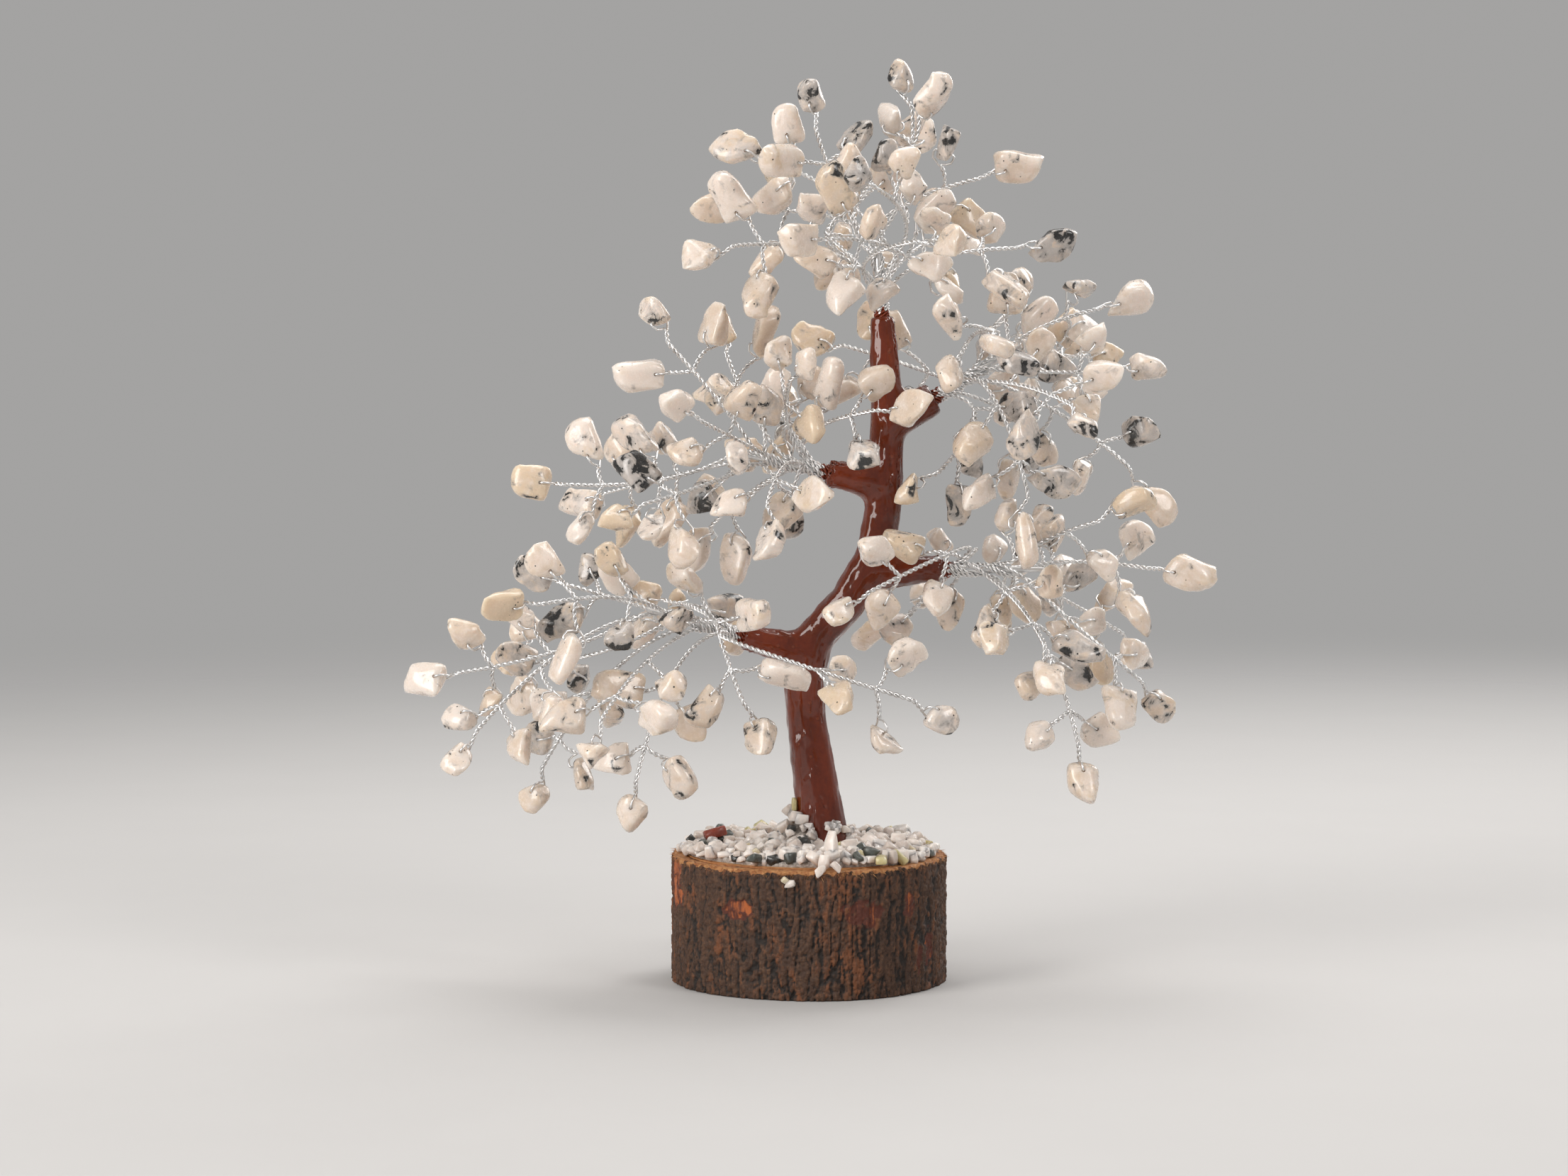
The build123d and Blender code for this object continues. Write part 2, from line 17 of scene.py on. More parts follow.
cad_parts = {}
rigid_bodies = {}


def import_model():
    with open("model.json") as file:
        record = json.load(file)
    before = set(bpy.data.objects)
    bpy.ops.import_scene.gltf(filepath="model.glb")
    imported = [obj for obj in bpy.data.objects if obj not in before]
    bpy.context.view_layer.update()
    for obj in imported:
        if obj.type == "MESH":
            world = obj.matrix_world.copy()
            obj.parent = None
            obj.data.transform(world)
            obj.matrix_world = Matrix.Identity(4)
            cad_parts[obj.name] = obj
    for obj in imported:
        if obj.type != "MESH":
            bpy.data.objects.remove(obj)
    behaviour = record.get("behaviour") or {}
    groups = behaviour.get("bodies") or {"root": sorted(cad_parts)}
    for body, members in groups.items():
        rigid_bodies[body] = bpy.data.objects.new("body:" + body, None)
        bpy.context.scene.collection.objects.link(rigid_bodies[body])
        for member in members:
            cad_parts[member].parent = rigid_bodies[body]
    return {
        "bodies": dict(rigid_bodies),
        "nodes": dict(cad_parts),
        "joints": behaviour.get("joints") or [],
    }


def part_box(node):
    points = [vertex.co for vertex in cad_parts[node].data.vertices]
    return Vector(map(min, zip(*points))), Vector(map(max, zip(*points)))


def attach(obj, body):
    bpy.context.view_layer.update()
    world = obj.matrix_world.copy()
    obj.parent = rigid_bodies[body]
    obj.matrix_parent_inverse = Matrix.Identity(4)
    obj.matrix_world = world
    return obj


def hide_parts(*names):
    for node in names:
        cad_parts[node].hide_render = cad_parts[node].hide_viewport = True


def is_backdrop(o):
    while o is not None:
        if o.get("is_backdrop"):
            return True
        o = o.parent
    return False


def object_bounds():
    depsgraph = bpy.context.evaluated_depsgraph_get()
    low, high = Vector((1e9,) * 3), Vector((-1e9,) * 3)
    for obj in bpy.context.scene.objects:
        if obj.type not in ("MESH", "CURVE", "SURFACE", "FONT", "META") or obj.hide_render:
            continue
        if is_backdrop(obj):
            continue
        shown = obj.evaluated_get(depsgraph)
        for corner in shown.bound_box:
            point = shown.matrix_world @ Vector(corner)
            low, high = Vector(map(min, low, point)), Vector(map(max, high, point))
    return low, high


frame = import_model()
cad_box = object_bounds()
MM = 0.001
BOUGHS = [body[:-len("_bough")] for body in frame["bodies"] if body.endswith("_bough")]
print("boughs", BOUGHS, "CAD nodes", len(frame["nodes"]))

# %% [markdown]
# ## Camera, light and floor
# The photograph was taken from a metre away, a little above the middle of the tree, with a long lens.
# The light is soft: a large lamp at the upper left, a weaker one at the right and one above. The floor
# and the backdrop are a plain pale grey, which leaves the white chips room to be brighter.

# %% Camera
CAMERA_PLACE = (0.0, -1.082, 0.190)
CAMERA_TURN = (math.radians(90 - 3.83), 0.0, math.radians(0.38))
LENS_MM = 83.2
bpy.ops.object.select_all(action="DESELECT")
bpy.ops.object.camera_add(location=CAMERA_PLACE, rotation=CAMERA_TURN)
camera = bpy.context.object
camera.name = "photo_camera"
camera.data.lens = LENS_MM
camera.data.sensor_width = 36.0
bpy.context.scene.camera = camera
bpy.context.scene.view_settings.view_transform = "Standard"
print("camera at", CAMERA_PLACE)

# %% Lamps
TREE_MIDDLE = Vector((0.0, 0.0, 0.15))


def soft_lamp(name, place, width, height, watts, colour):
    """A large square lamp that looks at the middle of the tree."""
    bpy.ops.object.light_add(type="AREA", location=place)
    lamp = bpy.context.object
    lamp.name = name
    lamp.data.shape = "RECTANGLE"
    lamp.data.size = width
    lamp.data.size_y = height
    lamp.data.energy = watts
    lamp.data.color = colour
    lamp.rotation_euler = (TREE_MIDDLE - Vector(place)).to_track_quat("-Z", "Y").to_euler()


soft_lamp("key_lamp", (-1.0, -0.8, 0.6), 0.6, 1.1, 14.5, (1.0, 0.97, 0.94))
soft_lamp("fill_lamp", (0.95, -0.8, 0.95), 0.5, 0.5, 6.0, (1.0, 0.97, 0.95))
soft_lamp("top_lamp", (0.1, 0.35, 1.25), 0.9, 0.7, 7.5, (1.0, 0.98, 0.96))
soft_lamp("back_lamp", (0.7, 0.95, 0.7), 0.6, 0.7, 5.0, (1.0, 0.97, 0.95))

# %% [markdown]
# ## Shader maths as Python expressions
# A finish is a tree of nodes. Wiring nodes by hand in code is hard to read, so a small class wraps a
# socket and lets + - and * make the Math nodes, and one method makes every other kind of node.


# %% Finishes
class Socket:
    """A node's output, which can be used in sums."""

    def __init__(self, finish, output):
        self.finish = finish
        self.output = output

    def math(self, operation, first, second):
        return self.finish.node("ShaderNodeMath", {0: first, 1: second}, operation=operation)

    def __add__(self, other):
        return self.math("ADD", self, other)

    def __radd__(self, other):
        return self.math("ADD", other, self)

    def __sub__(self, other):
        return self.math("SUBTRACT", self, other)

    def __rsub__(self, other):
        return self.math("SUBTRACT", other, self)

    def __mul__(self, other):
        return self.math("MULTIPLY", self, other)

    def __rmul__(self, other):
        return self.math("MULTIPLY", other, self)


class Finish:
    """A material with its own node tree round one Principled shader."""

    def __init__(self, name, **fixed):
        self.material = bpy.data.materials.new(name)
        self.material.use_nodes = True
        self.tree = self.material.node_tree
        self.shader = self.tree.nodes["Principled BSDF"]
        for socket, value in fixed.items():
            self.shader.inputs[socket.replace("_", " ")].default_value = value

    def node(self, kind, inputs=None, output=0, **settings):
        """Any node: its settings first, then the values or links of its sockets."""
        made = self.tree.nodes.new(kind)
        for setting, value in settings.items():
            setattr(made, setting, value)
        for socket, value in (inputs or {}).items():
            if isinstance(value, Socket):
                self.tree.links.new(value.output, made.inputs[socket])
            else:
                made.inputs[socket].default_value = value
        return Socket(self, made.outputs[output])

    def place(self, stretch=(1.0, 1.0, 1.0)):
        """Where a point of the piece is, in metres, stretched along each axis."""
        spot = self.node("ShaderNodeTexCoord", output="Object")
        return self.node("ShaderNodeMapping", {"Vector": spot, "Scale": stretch})

    def noise(self, size_mm, detail=4.0, roughness=0.55, distortion=0.0, stretch=(1.0, 1.0, 1.0)):
        """Noise whose lumps are about this size."""
        inputs = {"Vector": self.place(stretch), "Scale": 1.0 / (size_mm * MM), "Detail": detail,
                  "Roughness": roughness, "Distortion": distortion}
        return self.node("ShaderNodeTexNoise", inputs)

    def cells(self, size_mm):
        """Distance in a pattern of cells of about this size."""
        inputs = {"Vector": self.place(), "Scale": 1.0 / (size_mm * MM)}
        return self.node("ShaderNodeTexVoronoi", inputs, output="Distance")

    def ramp(self, value, low, high):
        """A smooth step from 0 at low to 1 at high."""
        inputs = {"Value": value, "From Min": low, "From Max": high}
        return self.node("ShaderNodeMapRange", inputs, interpolation_type="SMOOTHSTEP")

    def mix(self, share, first, second):
        """Two colours mixed by a share from 0 to 1."""
        colours = [(*c, 1.0) if isinstance(c, tuple) else c for c in (first, second)]
        inputs = {0: share, 6: colours[0], 7: colours[1]}
        return self.node("ShaderNodeMix", inputs, output=2, data_type="RGBA")

    def look(self, name, channel):
        """One channel of a colour attribute that the piece carries."""
        colour = self.node("ShaderNodeAttribute", output="Color", attribute_name=name)
        return self.node("ShaderNodeSeparateColor", {"Color": colour}, output=channel)

    def bump(self, height, depth_mm, strength=1.0):
        inputs = {"Height": height, "Distance": depth_mm * MM, "Strength": strength}
        self.feed("Normal", self.node("ShaderNodeBump", inputs))

    def feed(self, socket, value):
        self.tree.links.new(value.output, self.shader.inputs[socket])


print("shader helpers ready")

# %% [markdown]
# ## Floor and backdrop
# The floor is a wide round sheet under the log. A faint mottling keeps it from being one flat tone. The
# world gives a low even light, and to the camera it shows the same pale grey as the floor, so the floor
# can fade out into it with distance.

# %% Floor and world
FLOOR_RADIUS = 6.0
FADE_FROM, FADE_TO = 0.35, 1.5
FLOOR_GREY = (0.57, 0.56, 0.55)
BACKDROP_GREY = (0.37, 0.365, 0.36)
WORLD_GLOW = 0.34
bpy.ops.object.select_all(action="DESELECT")
bpy.ops.mesh.primitive_circle_add(vertices=96, radius=FLOOR_RADIUS, fill_type="NGON",
                                  location=(0, 0, -0.2 * MM))
floor = bpy.context.object
floor.name = "studio_floor"
paper = Finish("floor_paper", Roughness=0.9)
mottle = paper.noise(60.0)
paper.feed("Base Color", paper.mix(mottle, FLOOR_GREY, tuple(1.04 * tone for tone in FLOOR_GREY)))
far = paper.node("ShaderNodeVectorMath", {0: paper.place()}, output="Value", operation="LENGTH")
paper.feed("Alpha", 1.0 - paper.ramp(far, FADE_FROM, FADE_TO))
floor.data.materials.append(paper.material)
floor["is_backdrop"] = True

world = bpy.data.worlds.new("studio_world")
bpy.context.scene.world = world
world.use_nodes = True
nodes, links = world.node_tree.nodes, world.node_tree.links
path = nodes.new("ShaderNodeLightPath")
seen = path.outputs["Is Camera Ray"]
for ray in ("Is Glossy Ray", "Is Transmission Ray"):
    either = nodes.new("ShaderNodeMath")
    either.operation = "MAXIMUM"
    links.new(seen, either.inputs[0])
    links.new(path.outputs[ray], either.inputs[1])
    seen = either.outputs[0]
backdrop = nodes.new("ShaderNodeMix")
backdrop.data_type = "RGBA"
backdrop.inputs[6].default_value = (WORLD_GLOW, WORLD_GLOW, WORLD_GLOW, 1.0)
backdrop.inputs[7].default_value = (*BACKDROP_GREY, 1.0)
links.new(seen, backdrop.inputs[0])
links.new(backdrop.outputs[2], nodes["Background"].inputs["Color"])
print("floor radius", FLOOR_RADIUS, "m")

# %% [markdown]
# ## Reading the frame
# The CAD model already holds every stem, twig and chip. Each CAD wire is a three-sided rod with a hook
# at its end, so the middles of its rings give its line, and the hook gives the place of its chip's hole,
# the direction along the chip and the way its face looks. Reading these keeps the scene true to the CAD.

# %% Solids, lines and seats
CAP_EDGE = 2 * MM


def solids_of(node):
    """The separate solids of a CAD node, each as a list of its merged corners."""
    reader = bmesh.new()
    reader.from_mesh(frame["nodes"][node].data)
    bmesh.ops.remove_doubles(reader, verts=reader.verts, dist=0.01 * MM)
    found = set()
    for first in reader.verts:
        if first in found:
            continue
        found.add(first)
        solid, front = [], [first]
        while front:
            corner = front.pop()
            solid.append(corner)
            beside = [edge.other_vert(corner) for edge in corner.link_edges]
            front += [other for other in beside if other not in found]
            found.update(beside)
        yield solid
    reader.free()


def middle(corners):
    """The mean place of some corners, in millimetres."""
    return np.mean([corner.co for corner in corners], axis=0) / MM


def unit(vector):
    return vector / np.linalg.norm(vector)


def hook_fault(line):
    """Low for a line that ends in a hook, which is a square turn and a short run."""
    before, corner, end = line[-3:]
    return 100 * abs(unit(corner - before) @ unit(end - corner)) + np.linalg.norm(end - corner)


def wire_line(wire):
    """The line that a CAD wire follows, with its hook at the end."""
    faces = [face for corner in wire for face in corner.link_faces]
    ring = next(list(face.verts) for face in faces if max(edge.calc_length() for edge in face.edges) < CAP_EDGE)
    line, passed = [], set()
    while ring:
        line.append(middle(ring))
        passed.update(ring)
        beside = [edge.other_vert(corner) for corner in ring for edge in corner.link_edges]
        ring = list(dict.fromkeys(other for other in beside if other not in passed))
    return min(line, line[::-1], key=hook_fault)


def seat_of(line):
    """The seat of the chip on a wire's hook: its hole's middle, along it and out of its face."""
    before, corner, end = line[-3:]
    along, facing = unit(corner - before), unit(corner - end)
    lift = np.linalg.norm(corner - end) / 2
    across = np.cross(facing, along)
    return {"hole": (corner + end) / 2, "along": along, "across": across, "facing": facing, "lift": lift}


def bend_points(stem):
    """The three points of the smooth bend that a CAD stem samples in equal steps."""
    start, first, tip = stem[0], stem[1], stem[-2]
    step = 1 / (len(stem) - 2)
    return start, (first - start * (1 - step) ** 2 - tip * step ** 2) / (2 * step * (1 - step)), tip


sprigs = {bough: [] for bough in BOUGHS}
twigs = {bough: [] for bough in BOUGHS}
for bough in BOUGHS:
    for solid in solids_of(bough + "_stems"):
        stem = wire_line(solid)
        sprigs[bough].append({"bend": bend_points(stem), "seat": seat_of(stem)})
    for solid in solids_of(bough + "_twigs"):
        twig = wire_line(solid)
        twigs[bough].append({"start": twig[0], "seat": seat_of(twig)})
print("sprigs", sum(map(len, sprigs.values())), "twigs", sum(map(len, twigs.values())))

# %% [markdown]
# ## Working by hand, in code
# An operator works on whatever is selected, so each piece starts with nothing else selected. A few
# helpers cover what the pieces below have in common: starting a primitive, slicing it in edit mode,
# turning its faces outwards and joining many copies into one piece.


# %% Modelling helpers
def fresh(add, **settings):
    """A new primitive, alone in the selection, with its place and size in its mesh."""
    bpy.ops.object.select_all(action="DESELECT")
    add(**settings)
    bpy.ops.object.transform_apply(location=True, rotation=True, scale=True)
    return bpy.context.object


def only(piece):
    bpy.ops.object.select_all(action="DESELECT")
    piece.select_set(True)
    bpy.context.view_layer.objects.active = piece


def slice_off(place, out):
    """In edit mode, takes away what lies beyond a plane and closes the cut."""
    bpy.ops.mesh.select_all(action="SELECT")
    bpy.ops.mesh.bisect(plane_co=place, plane_no=out, use_fill=True, clear_outer=True)


def face_out(piece, merge=False):
    """Turns every face of a piece outwards, after merging its doubles where it has a seam."""
    only(piece)
    bpy.ops.object.mode_set(mode="EDIT")
    bpy.ops.mesh.select_all(action="SELECT")
    if merge:
        bpy.ops.mesh.remove_doubles(threshold=0.01 * MM)
    bpy.ops.mesh.normals_make_consistent(inside=False)
    bpy.ops.object.mode_set(mode="OBJECT")


def apply_modifier(piece, kind, **settings):
    only(piece)
    modifier = piece.modifiers.new(kind.lower(), kind)
    for setting, value in settings.items():
        setattr(modifier, setting, value)
    bpy.ops.object.modifier_apply(modifier=modifier.name)


def copy_of(mesh, matrix, look):
    """A copy of a mesh at a place, with its own colour attribute."""
    own = mesh.copy()
    own.transform(matrix)
    colour = own.attributes.new("look", "FLOAT_COLOR", "POINT")
    colour.data.foreach_set("color", [*look, 1.0] * len(own.vertices))
    piece = bpy.data.objects.new("copy", own)
    bpy.context.scene.collection.objects.link(piece)
    return piece


def joined(name, pieces):
    only(pieces[0])
    for piece in pieces:
        piece.select_set(True)
    bpy.ops.object.join()
    pieces[0].name = name
    pieces[0].data.name = name
    return pieces[0]


def dress(piece, finish, body, slot, *nodes):
    """Gives a piece its finish and its body, and hides the CAD nodes that it stands for. The slot is not used.
    """
    piece.data.materials.clear()
    piece.data.materials.append(finish.material)
    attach(piece, body)
    if nodes:
        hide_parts(*nodes)


def discard(pieces):
    for piece in pieces:
        bpy.data.objects.remove(piece)


print("modelling helpers ready")

# %% [markdown]
# ## Moonstone
# The chips are polished moonstone: cream-white and cloudy, some with black tourmaline in them, some
# stained like honey. One recipe makes all three finishes. Each chip carries its own mix in a colour
# attribute: red is how pale it is, green how much black it holds and blue how much honey.

# %% Moonstone finishes
STONE_WHITE = (0.80, 0.71, 0.64)
STONE_CREAM = (0.67, 0.55, 0.44)
STONE_GREY = (0.50, 0.46, 0.43)
STONE_HONEY = (0.68, 0.55, 0.41)
SMOKE = (0.26, 0.245, 0.23)
TOURMALINE = (0.018, 0.017, 0.016)


def moonstone(name):
    stone = Finish(name, IOR=1.53, Subsurface_Weight=0.75, Subsurface_Scale=0.004, Coat_Roughness=0.06)
    stone.shader.inputs["Subsurface Radius"].default_value = (1.0, 0.9, 0.8)
    pale, black, honey = (stone.look("look", channel) for channel in ("Red", "Green", "Blue"))
    clouds = stone.noise(4.0, detail=5.0, distortion=0.8)
    grain = stone.noise(0.7, detail=3.0)
    body = stone.mix(stone.ramp(clouds + pale * 0.5, 0.4, 0.95), STONE_CREAM, STONE_WHITE)
    body = stone.mix(stone.ramp(clouds * black, 0.18, 0.42), body, STONE_GREY)
    stains = stone.noise(6.0, detail=6.0, distortion=1.5)
    body = stone.mix(stone.ramp(stains + honey * 0.6, 0.62, 1.0), body, STONE_HONEY)
    blotches = stone.noise(4.6, detail=4.5, roughness=0.58, distortion=0.5) + black * 0.2
    body = stone.mix(stone.ramp(blotches, 0.60, 0.74) * 0.7, body, SMOKE)
    specks = stone.cells(2.1)
    dark = stone.ramp(blotches, 0.69, 0.76)
    dots = stone.ramp(0.2 - specks + black * 0.05, 0.06, 0.12) * stone.ramp(stains, 0.5, 0.6)
    stone.feed("Base Color", stone.mix(stone.ramp(dark + dots, 0.1, 0.9), body, TOURMALINE))
    stone.feed("Roughness", 0.16 + grain * 0.2)
    stone.feed("Coat Weight", 0.6 - grain * 0.4)
    stone.bump(clouds * 0.7 + grain * 0.3, 0.25, 0.6)
    return stone


STONES = {colour: moonstone(colour + "_moonstone") for colour in ("milky", "flecked", "honey")}
print("stones", list(STONES))

# %% [markdown]
# ## Drilled chips
# A tumbled chip is a broken flake with its edges worn round. It could be sculpted, but hundreds of chips
# need a light mesh, so each shape is cut from a block: one slice for each side of the CAD chip's outline,
# one for each corner, two faces and a few chance cuts. Subdividing it and smoothing its corners is the
# wear, noise gives it dents, and it gets its full size back before its hole is drilled. There are two
# versions of each CAD shape, and every copy is stretched a little differently.

# %% Chip shapes
CORNER_CUTS = 4
WEAR_PASSES = 3
DENT_DEPTH = 0.55
FLAT_ANGLE = math.radians(0.5)
DRILL_RADIUS = 0.5


def in_order(piece):
    """In edit mode, puts corners and faces in one fixed order, so that every run gives the same chip."""
    bpy.ops.object.mode_set(mode="OBJECT")
    spots = [tuple(round(value, 4) for value in corner.co) for corner in piece.data.vertices]
    corners = sorted(set(spots))
    number_of = {spot: number for number, spot in enumerate(corners)}
    rings = [[number_of[spots[corner]] for corner in face.vertices] for face in piece.data.polygons]
    loops = [list(dict.fromkeys(ring)) for ring in rings]
    starts = [loop.index(min(loop)) for loop in loops]
    turned = [loop[start:] + loop[:start] for loop, start in zip(loops, starts) if len(loop) > 2]
    piece.data.clear_geometry()
    piece.data.from_pydata(corners, [], sorted(turned))
    bpy.ops.object.mode_set(mode="EDIT")
    bpy.ops.mesh.select_all(action="SELECT")


def chip_shape(outline, thickness, dice):
    """A chip round its hole, in millimetres: +X along it, +Z out of the face that the wire crosses."""
    low, high = outline.min(axis=0), outline.max(axis=0)
    centre, size = (low + high) / 2, high - low
    chip = fresh(bpy.ops.mesh.primitive_cube_add, size=1, location=(*centre, 0), scale=(*size, thickness))
    bpy.ops.object.mode_set(mode="EDIT")
    for start, end in zip(outline, np.roll(outline, -1, axis=0)):
        out = unit(np.array([end[1] - start[1], start[0] - end[0]]))
        slice_off((*((start + end) / 2), 0), (*out, dice.uniform(-0.35, 0.35)))
    for corner in outline:
        out = unit(corner - centre)
        slice_off((*(corner - dice.uniform(0.3, 1.7) * out), 0), (*out, dice.uniform(-0.5, 0.5)))
    for side in (1, -1):
        slope = dice.uniform(-0.22, 0.22), dice.uniform(-0.22, 0.22), side
        slice_off((*centre, 0.5 * side * thickness), slope)
    for number in range(CORNER_CUTS):
        angle = dice.uniform(0, 2 * math.pi)
        rise = dice.choice((-1, 1)) * dice.uniform(0.3, 1.3)
        out = Vector((math.cos(angle), math.sin(angle), rise)).normalized()
        reach = max(corner.co.dot(out) for corner in bmesh.from_edit_mesh(chip.data).verts)
        slice_off(out * (reach - dice.uniform(0.8, 2.0)), out)
    in_order(chip)
    bpy.ops.mesh.remove_doubles(threshold=1.0)
    bpy.ops.mesh.convex_hull(use_existing_faces=False, join_triangles=False)
    bpy.ops.mesh.select_all(action="SELECT")
    bpy.ops.mesh.dissolve_limited(angle_limit=FLAT_ANGLE)
    in_order(chip)
    bpy.ops.mesh.quads_convert_to_tris(quad_method="BEAUTY", ngon_method="BEAUTY")
    bpy.ops.mesh.subdivide(number_cuts=2)
    bpy.ops.mesh.vertices_smooth(factor=0.5, repeat=WEAR_PASSES)
    bpy.ops.mesh.normals_make_consistent(inside=False)
    bpy.ops.object.mode_set(mode="OBJECT")
    shift = Vector((dice.uniform(0, 90), 0, 0))
    for corner in chip.data.vertices:
        corner.co += noise.noise_vector(corner.co * 0.28 + shift) * DENT_DEPTH
    worn = np.array([corner.co for corner in chip.data.vertices])
    grown = np.array([*size, thickness]) / (worn.max(axis=0) - worn.min(axis=0))
    chip.data.transform(Matrix.Diagonal((*grown, 1.0)))
    worn *= grown
    chip.data.transform(Matrix.Translation((*centre, 0.0) - (worn.max(axis=0) + worn.min(axis=0)) / 2))
    drill = fresh(bpy.ops.mesh.primitive_cylinder_add, vertices=7, radius=DRILL_RADIUS, depth=3 * thickness)
    apply_modifier(chip, "BOOLEAN", operation="DIFFERENCE", object=drill, solver="EXACT")
    discard([drill])
    only(chip)
    bpy.ops.object.shade_smooth_by_angle(angle=math.radians(55))
    return chip


def chip_outline(solid, seat):
    """The corners of a CAD chip's larger face, round its hole, and the chip's thickness."""
    axes = np.array([seat["along"], seat["across"], seat["facing"]])
    corners = np.array([axes @ (np.array(corner.co) / MM - seat["hole"]) for corner in solid])
    lower = corners[(corners[:, 2] < 0) & (np.hypot(corners[:, 0], corners[:, 1]) > 2)][:, :2]
    about = lower - lower.mean(axis=0)
    order = np.argsort(np.arctan2(about[:, 1], about[:, 0]))
    return lower[order], 2 * corners[:, 2].max()


# %% Hang a chip on every hook
LOOKS = {"milky": ((0.1, 1.0), (0.0, 0.48), (0.0, 0.35)),
         "flecked": ((0.2, 0.9), (0.5, 0.9), (0.0, 0.3)),
         "honey": ((0.0, 0.7), (0.1, 0.5), (0.35, 0.85))}
STRETCH = (0.98, 1.13)
dice = random.Random(5)
noise.seed_set(5)
shapes = {}
for bough in BOUGHS:
    seats = [wire["seat"] for wire in sprigs[bough] + twigs[bough]]
    for colour, stone in STONES.items():
        node = f"{bough}_chips_{colour}"
        chips = []
        for solid in solids_of(node):
            centre = middle(solid)
            seat = min(seats, key=lambda one: np.linalg.norm(one["hole"] - centre))
            outline, thickness = chip_outline(solid, seat)
            key = tuple(outline.round(1).ravel())
            if key not in shapes:
                shapes[key] = [chip_shape(outline, thickness, dice) for version in range(2)]
            turned = Matrix(np.column_stack([seat["along"], seat["across"], seat["facing"]]).tolist()).to_4x4()
            jitter = Matrix.Diagonal([dice.uniform(*STRETCH) for axis in range(3)] + [1.0])
            place = Matrix.Diagonal((MM, MM, MM, 1.0)) @ Matrix.Translation(seat["hole"]) @ turned @ jitter
            look = [dice.uniform(*span) for span in LOOKS[colour]]
            chips.append(copy_of(dice.choice(shapes[key]).data, place, look))
        piece = joined(f"{bough}_{colour}_chips", chips)
        dress(piece, stone, bough + "_bough", colour + "_moonstone", node)
        print(piece.name, len(chips), "chips", len(piece.data.polygons), "faces")
discard([shape for pair in shapes.values() for shape in pair])
print("chip shapes", 2 * len(shapes))

# %% [markdown]
# ## Silver wire
# The wire is bright and soft, about half a millimetre thick. Where a bough leaves the trunk, the lacquer
# has run up its strands, so the wire carries an attribute that says where it is red.

# %% Wire finish
SILVER = (0.82, 0.82, 0.82)
TARNISH = (0.60, 0.59, 0.58)
LACQUER_RED = (0.190, 0.027, 0.005)
LACQUER_DARK = (0.095, 0.013, 0.0025)
silver = Finish("silver_wire")
coated = silver.ramp(silver.look("look", "Red"), 0.35, 0.65)
dull = silver.noise(5.0)
metal = silver.mix(silver.ramp(dull, 0.45, 0.75), SILVER, TARNISH)
silver.feed("Base Color", silver.mix(coated, metal, LACQUER_RED))
silver.feed("Metallic", 1.0 - coated)
silver.feed("Roughness", 0.2 + silver.noise(1.5) * 0.2)
print("wire finish ready")

# %% [markdown]
# ## Sprigs of twisted wire
# A real sprig is a single wire. It is folded through the tip chip, its halves are twisted together, and
# on the way down each half runs out to a side chip, through it and back, twisted on itself. A curve with
# a round bevel is the natural tool, and one unbroken spline for each sprig follows that same way: up the
# bundle and the stem, out to every chip and back down. The CAD stems and twigs give the routes.

# %% Twisting wires
WIRE_RADIUS = 0.33
WIRE_APART = 0.39
TWIST_PITCH = 3.8
WIRE_STEP = 0.4
HOLE_TO_EDGE = 3.4
LOOP_GAP = 0.9
CAD_WIRE_LIFT = 0.7


def even(points):
    """A line of points at an even step."""
    points = np.array(points)
    run = np.concatenate([[0], np.cumsum(np.linalg.norm(np.diff(points, axis=0), axis=1))])
    steps = np.linspace(0, run[-1], max(3, round(run[-1] / WIRE_STEP) + 1))
    return np.column_stack([np.interp(steps, run, points[:, axis]) for axis in range(3)])


def softened(line, times):
    """A line with its corners eased and its ends kept."""
    for time in range(times):
        line[1:-1] = (line[:-2] + 2 * line[1:-1] + line[2:]) / 4
    return line


def bowed(start, bend, end):
    """An even line along a bend through three points."""
    return even([start * (1 - t) ** 2 + bend * 2 * t * (1 - t) + end * t * t for t in np.linspace(0, 1, 40)])


def twisted(line, front):
    """The two wires of a twisted pair along a line, which end on its front and its back."""
    ways = np.gradient(line, axis=0)
    ways /= np.linalg.norm(ways, axis=1)[:, None]
    side, sides = np.array([0.36, 0.48, 0.8]), []
    for way in ways:
        side = unit(side - way * (side @ way))
        sides.append(side)
    sides = np.array(sides)
    others = np.cross(ways, sides)
    turn = 2 * math.pi * WIRE_STEP * np.arange(len(line)) / TWIST_PITCH
    turn += math.atan2(front @ others[-1], front @ sides[-1]) - turn[-1]
    lean = WIRE_APART * (np.cos(turn)[:, None] * sides + np.sin(turn)[:, None] * others)
    return line + lean, line - lean


def near_edge(seat):
    return seat["hole"] - seat["along"] * (HOLE_TO_EDGE + LOOP_GAP)


def chip_loop(seat):
    """The wire's way over a chip's face, through its hole and back behind it."""
    high = seat["lift"] - CAD_WIRE_LIFT + WIRE_RADIUS
    over = ((-3.6, 0.5), (-2.7, 0.9), (-1.2, 1.0), (-0.45, 0.98), (-0.1, 0.84), (0.0, 0.6))
    way = [(x, high * share) for x, share in over] + [(x, -high * share) for x, share in over[::-1]]
    return [seat["hole"] + x * seat["along"] + z * seat["facing"] for x, z in way]


def twig_way(node, seat):
    """Out from a stem to a chip, through it and back."""
    edge = near_edge(seat)
    bend = node + 0.5 * np.linalg.norm(edge - node) * seat["along"]
    out, back = twisted(bowed(node, bend, edge), seat["facing"])
    return [*out, *chip_loop(seat), *back[::-1]]


print("wire step", WIRE_STEP, "mm, twist", TWIST_PITCH, "mm a turn")

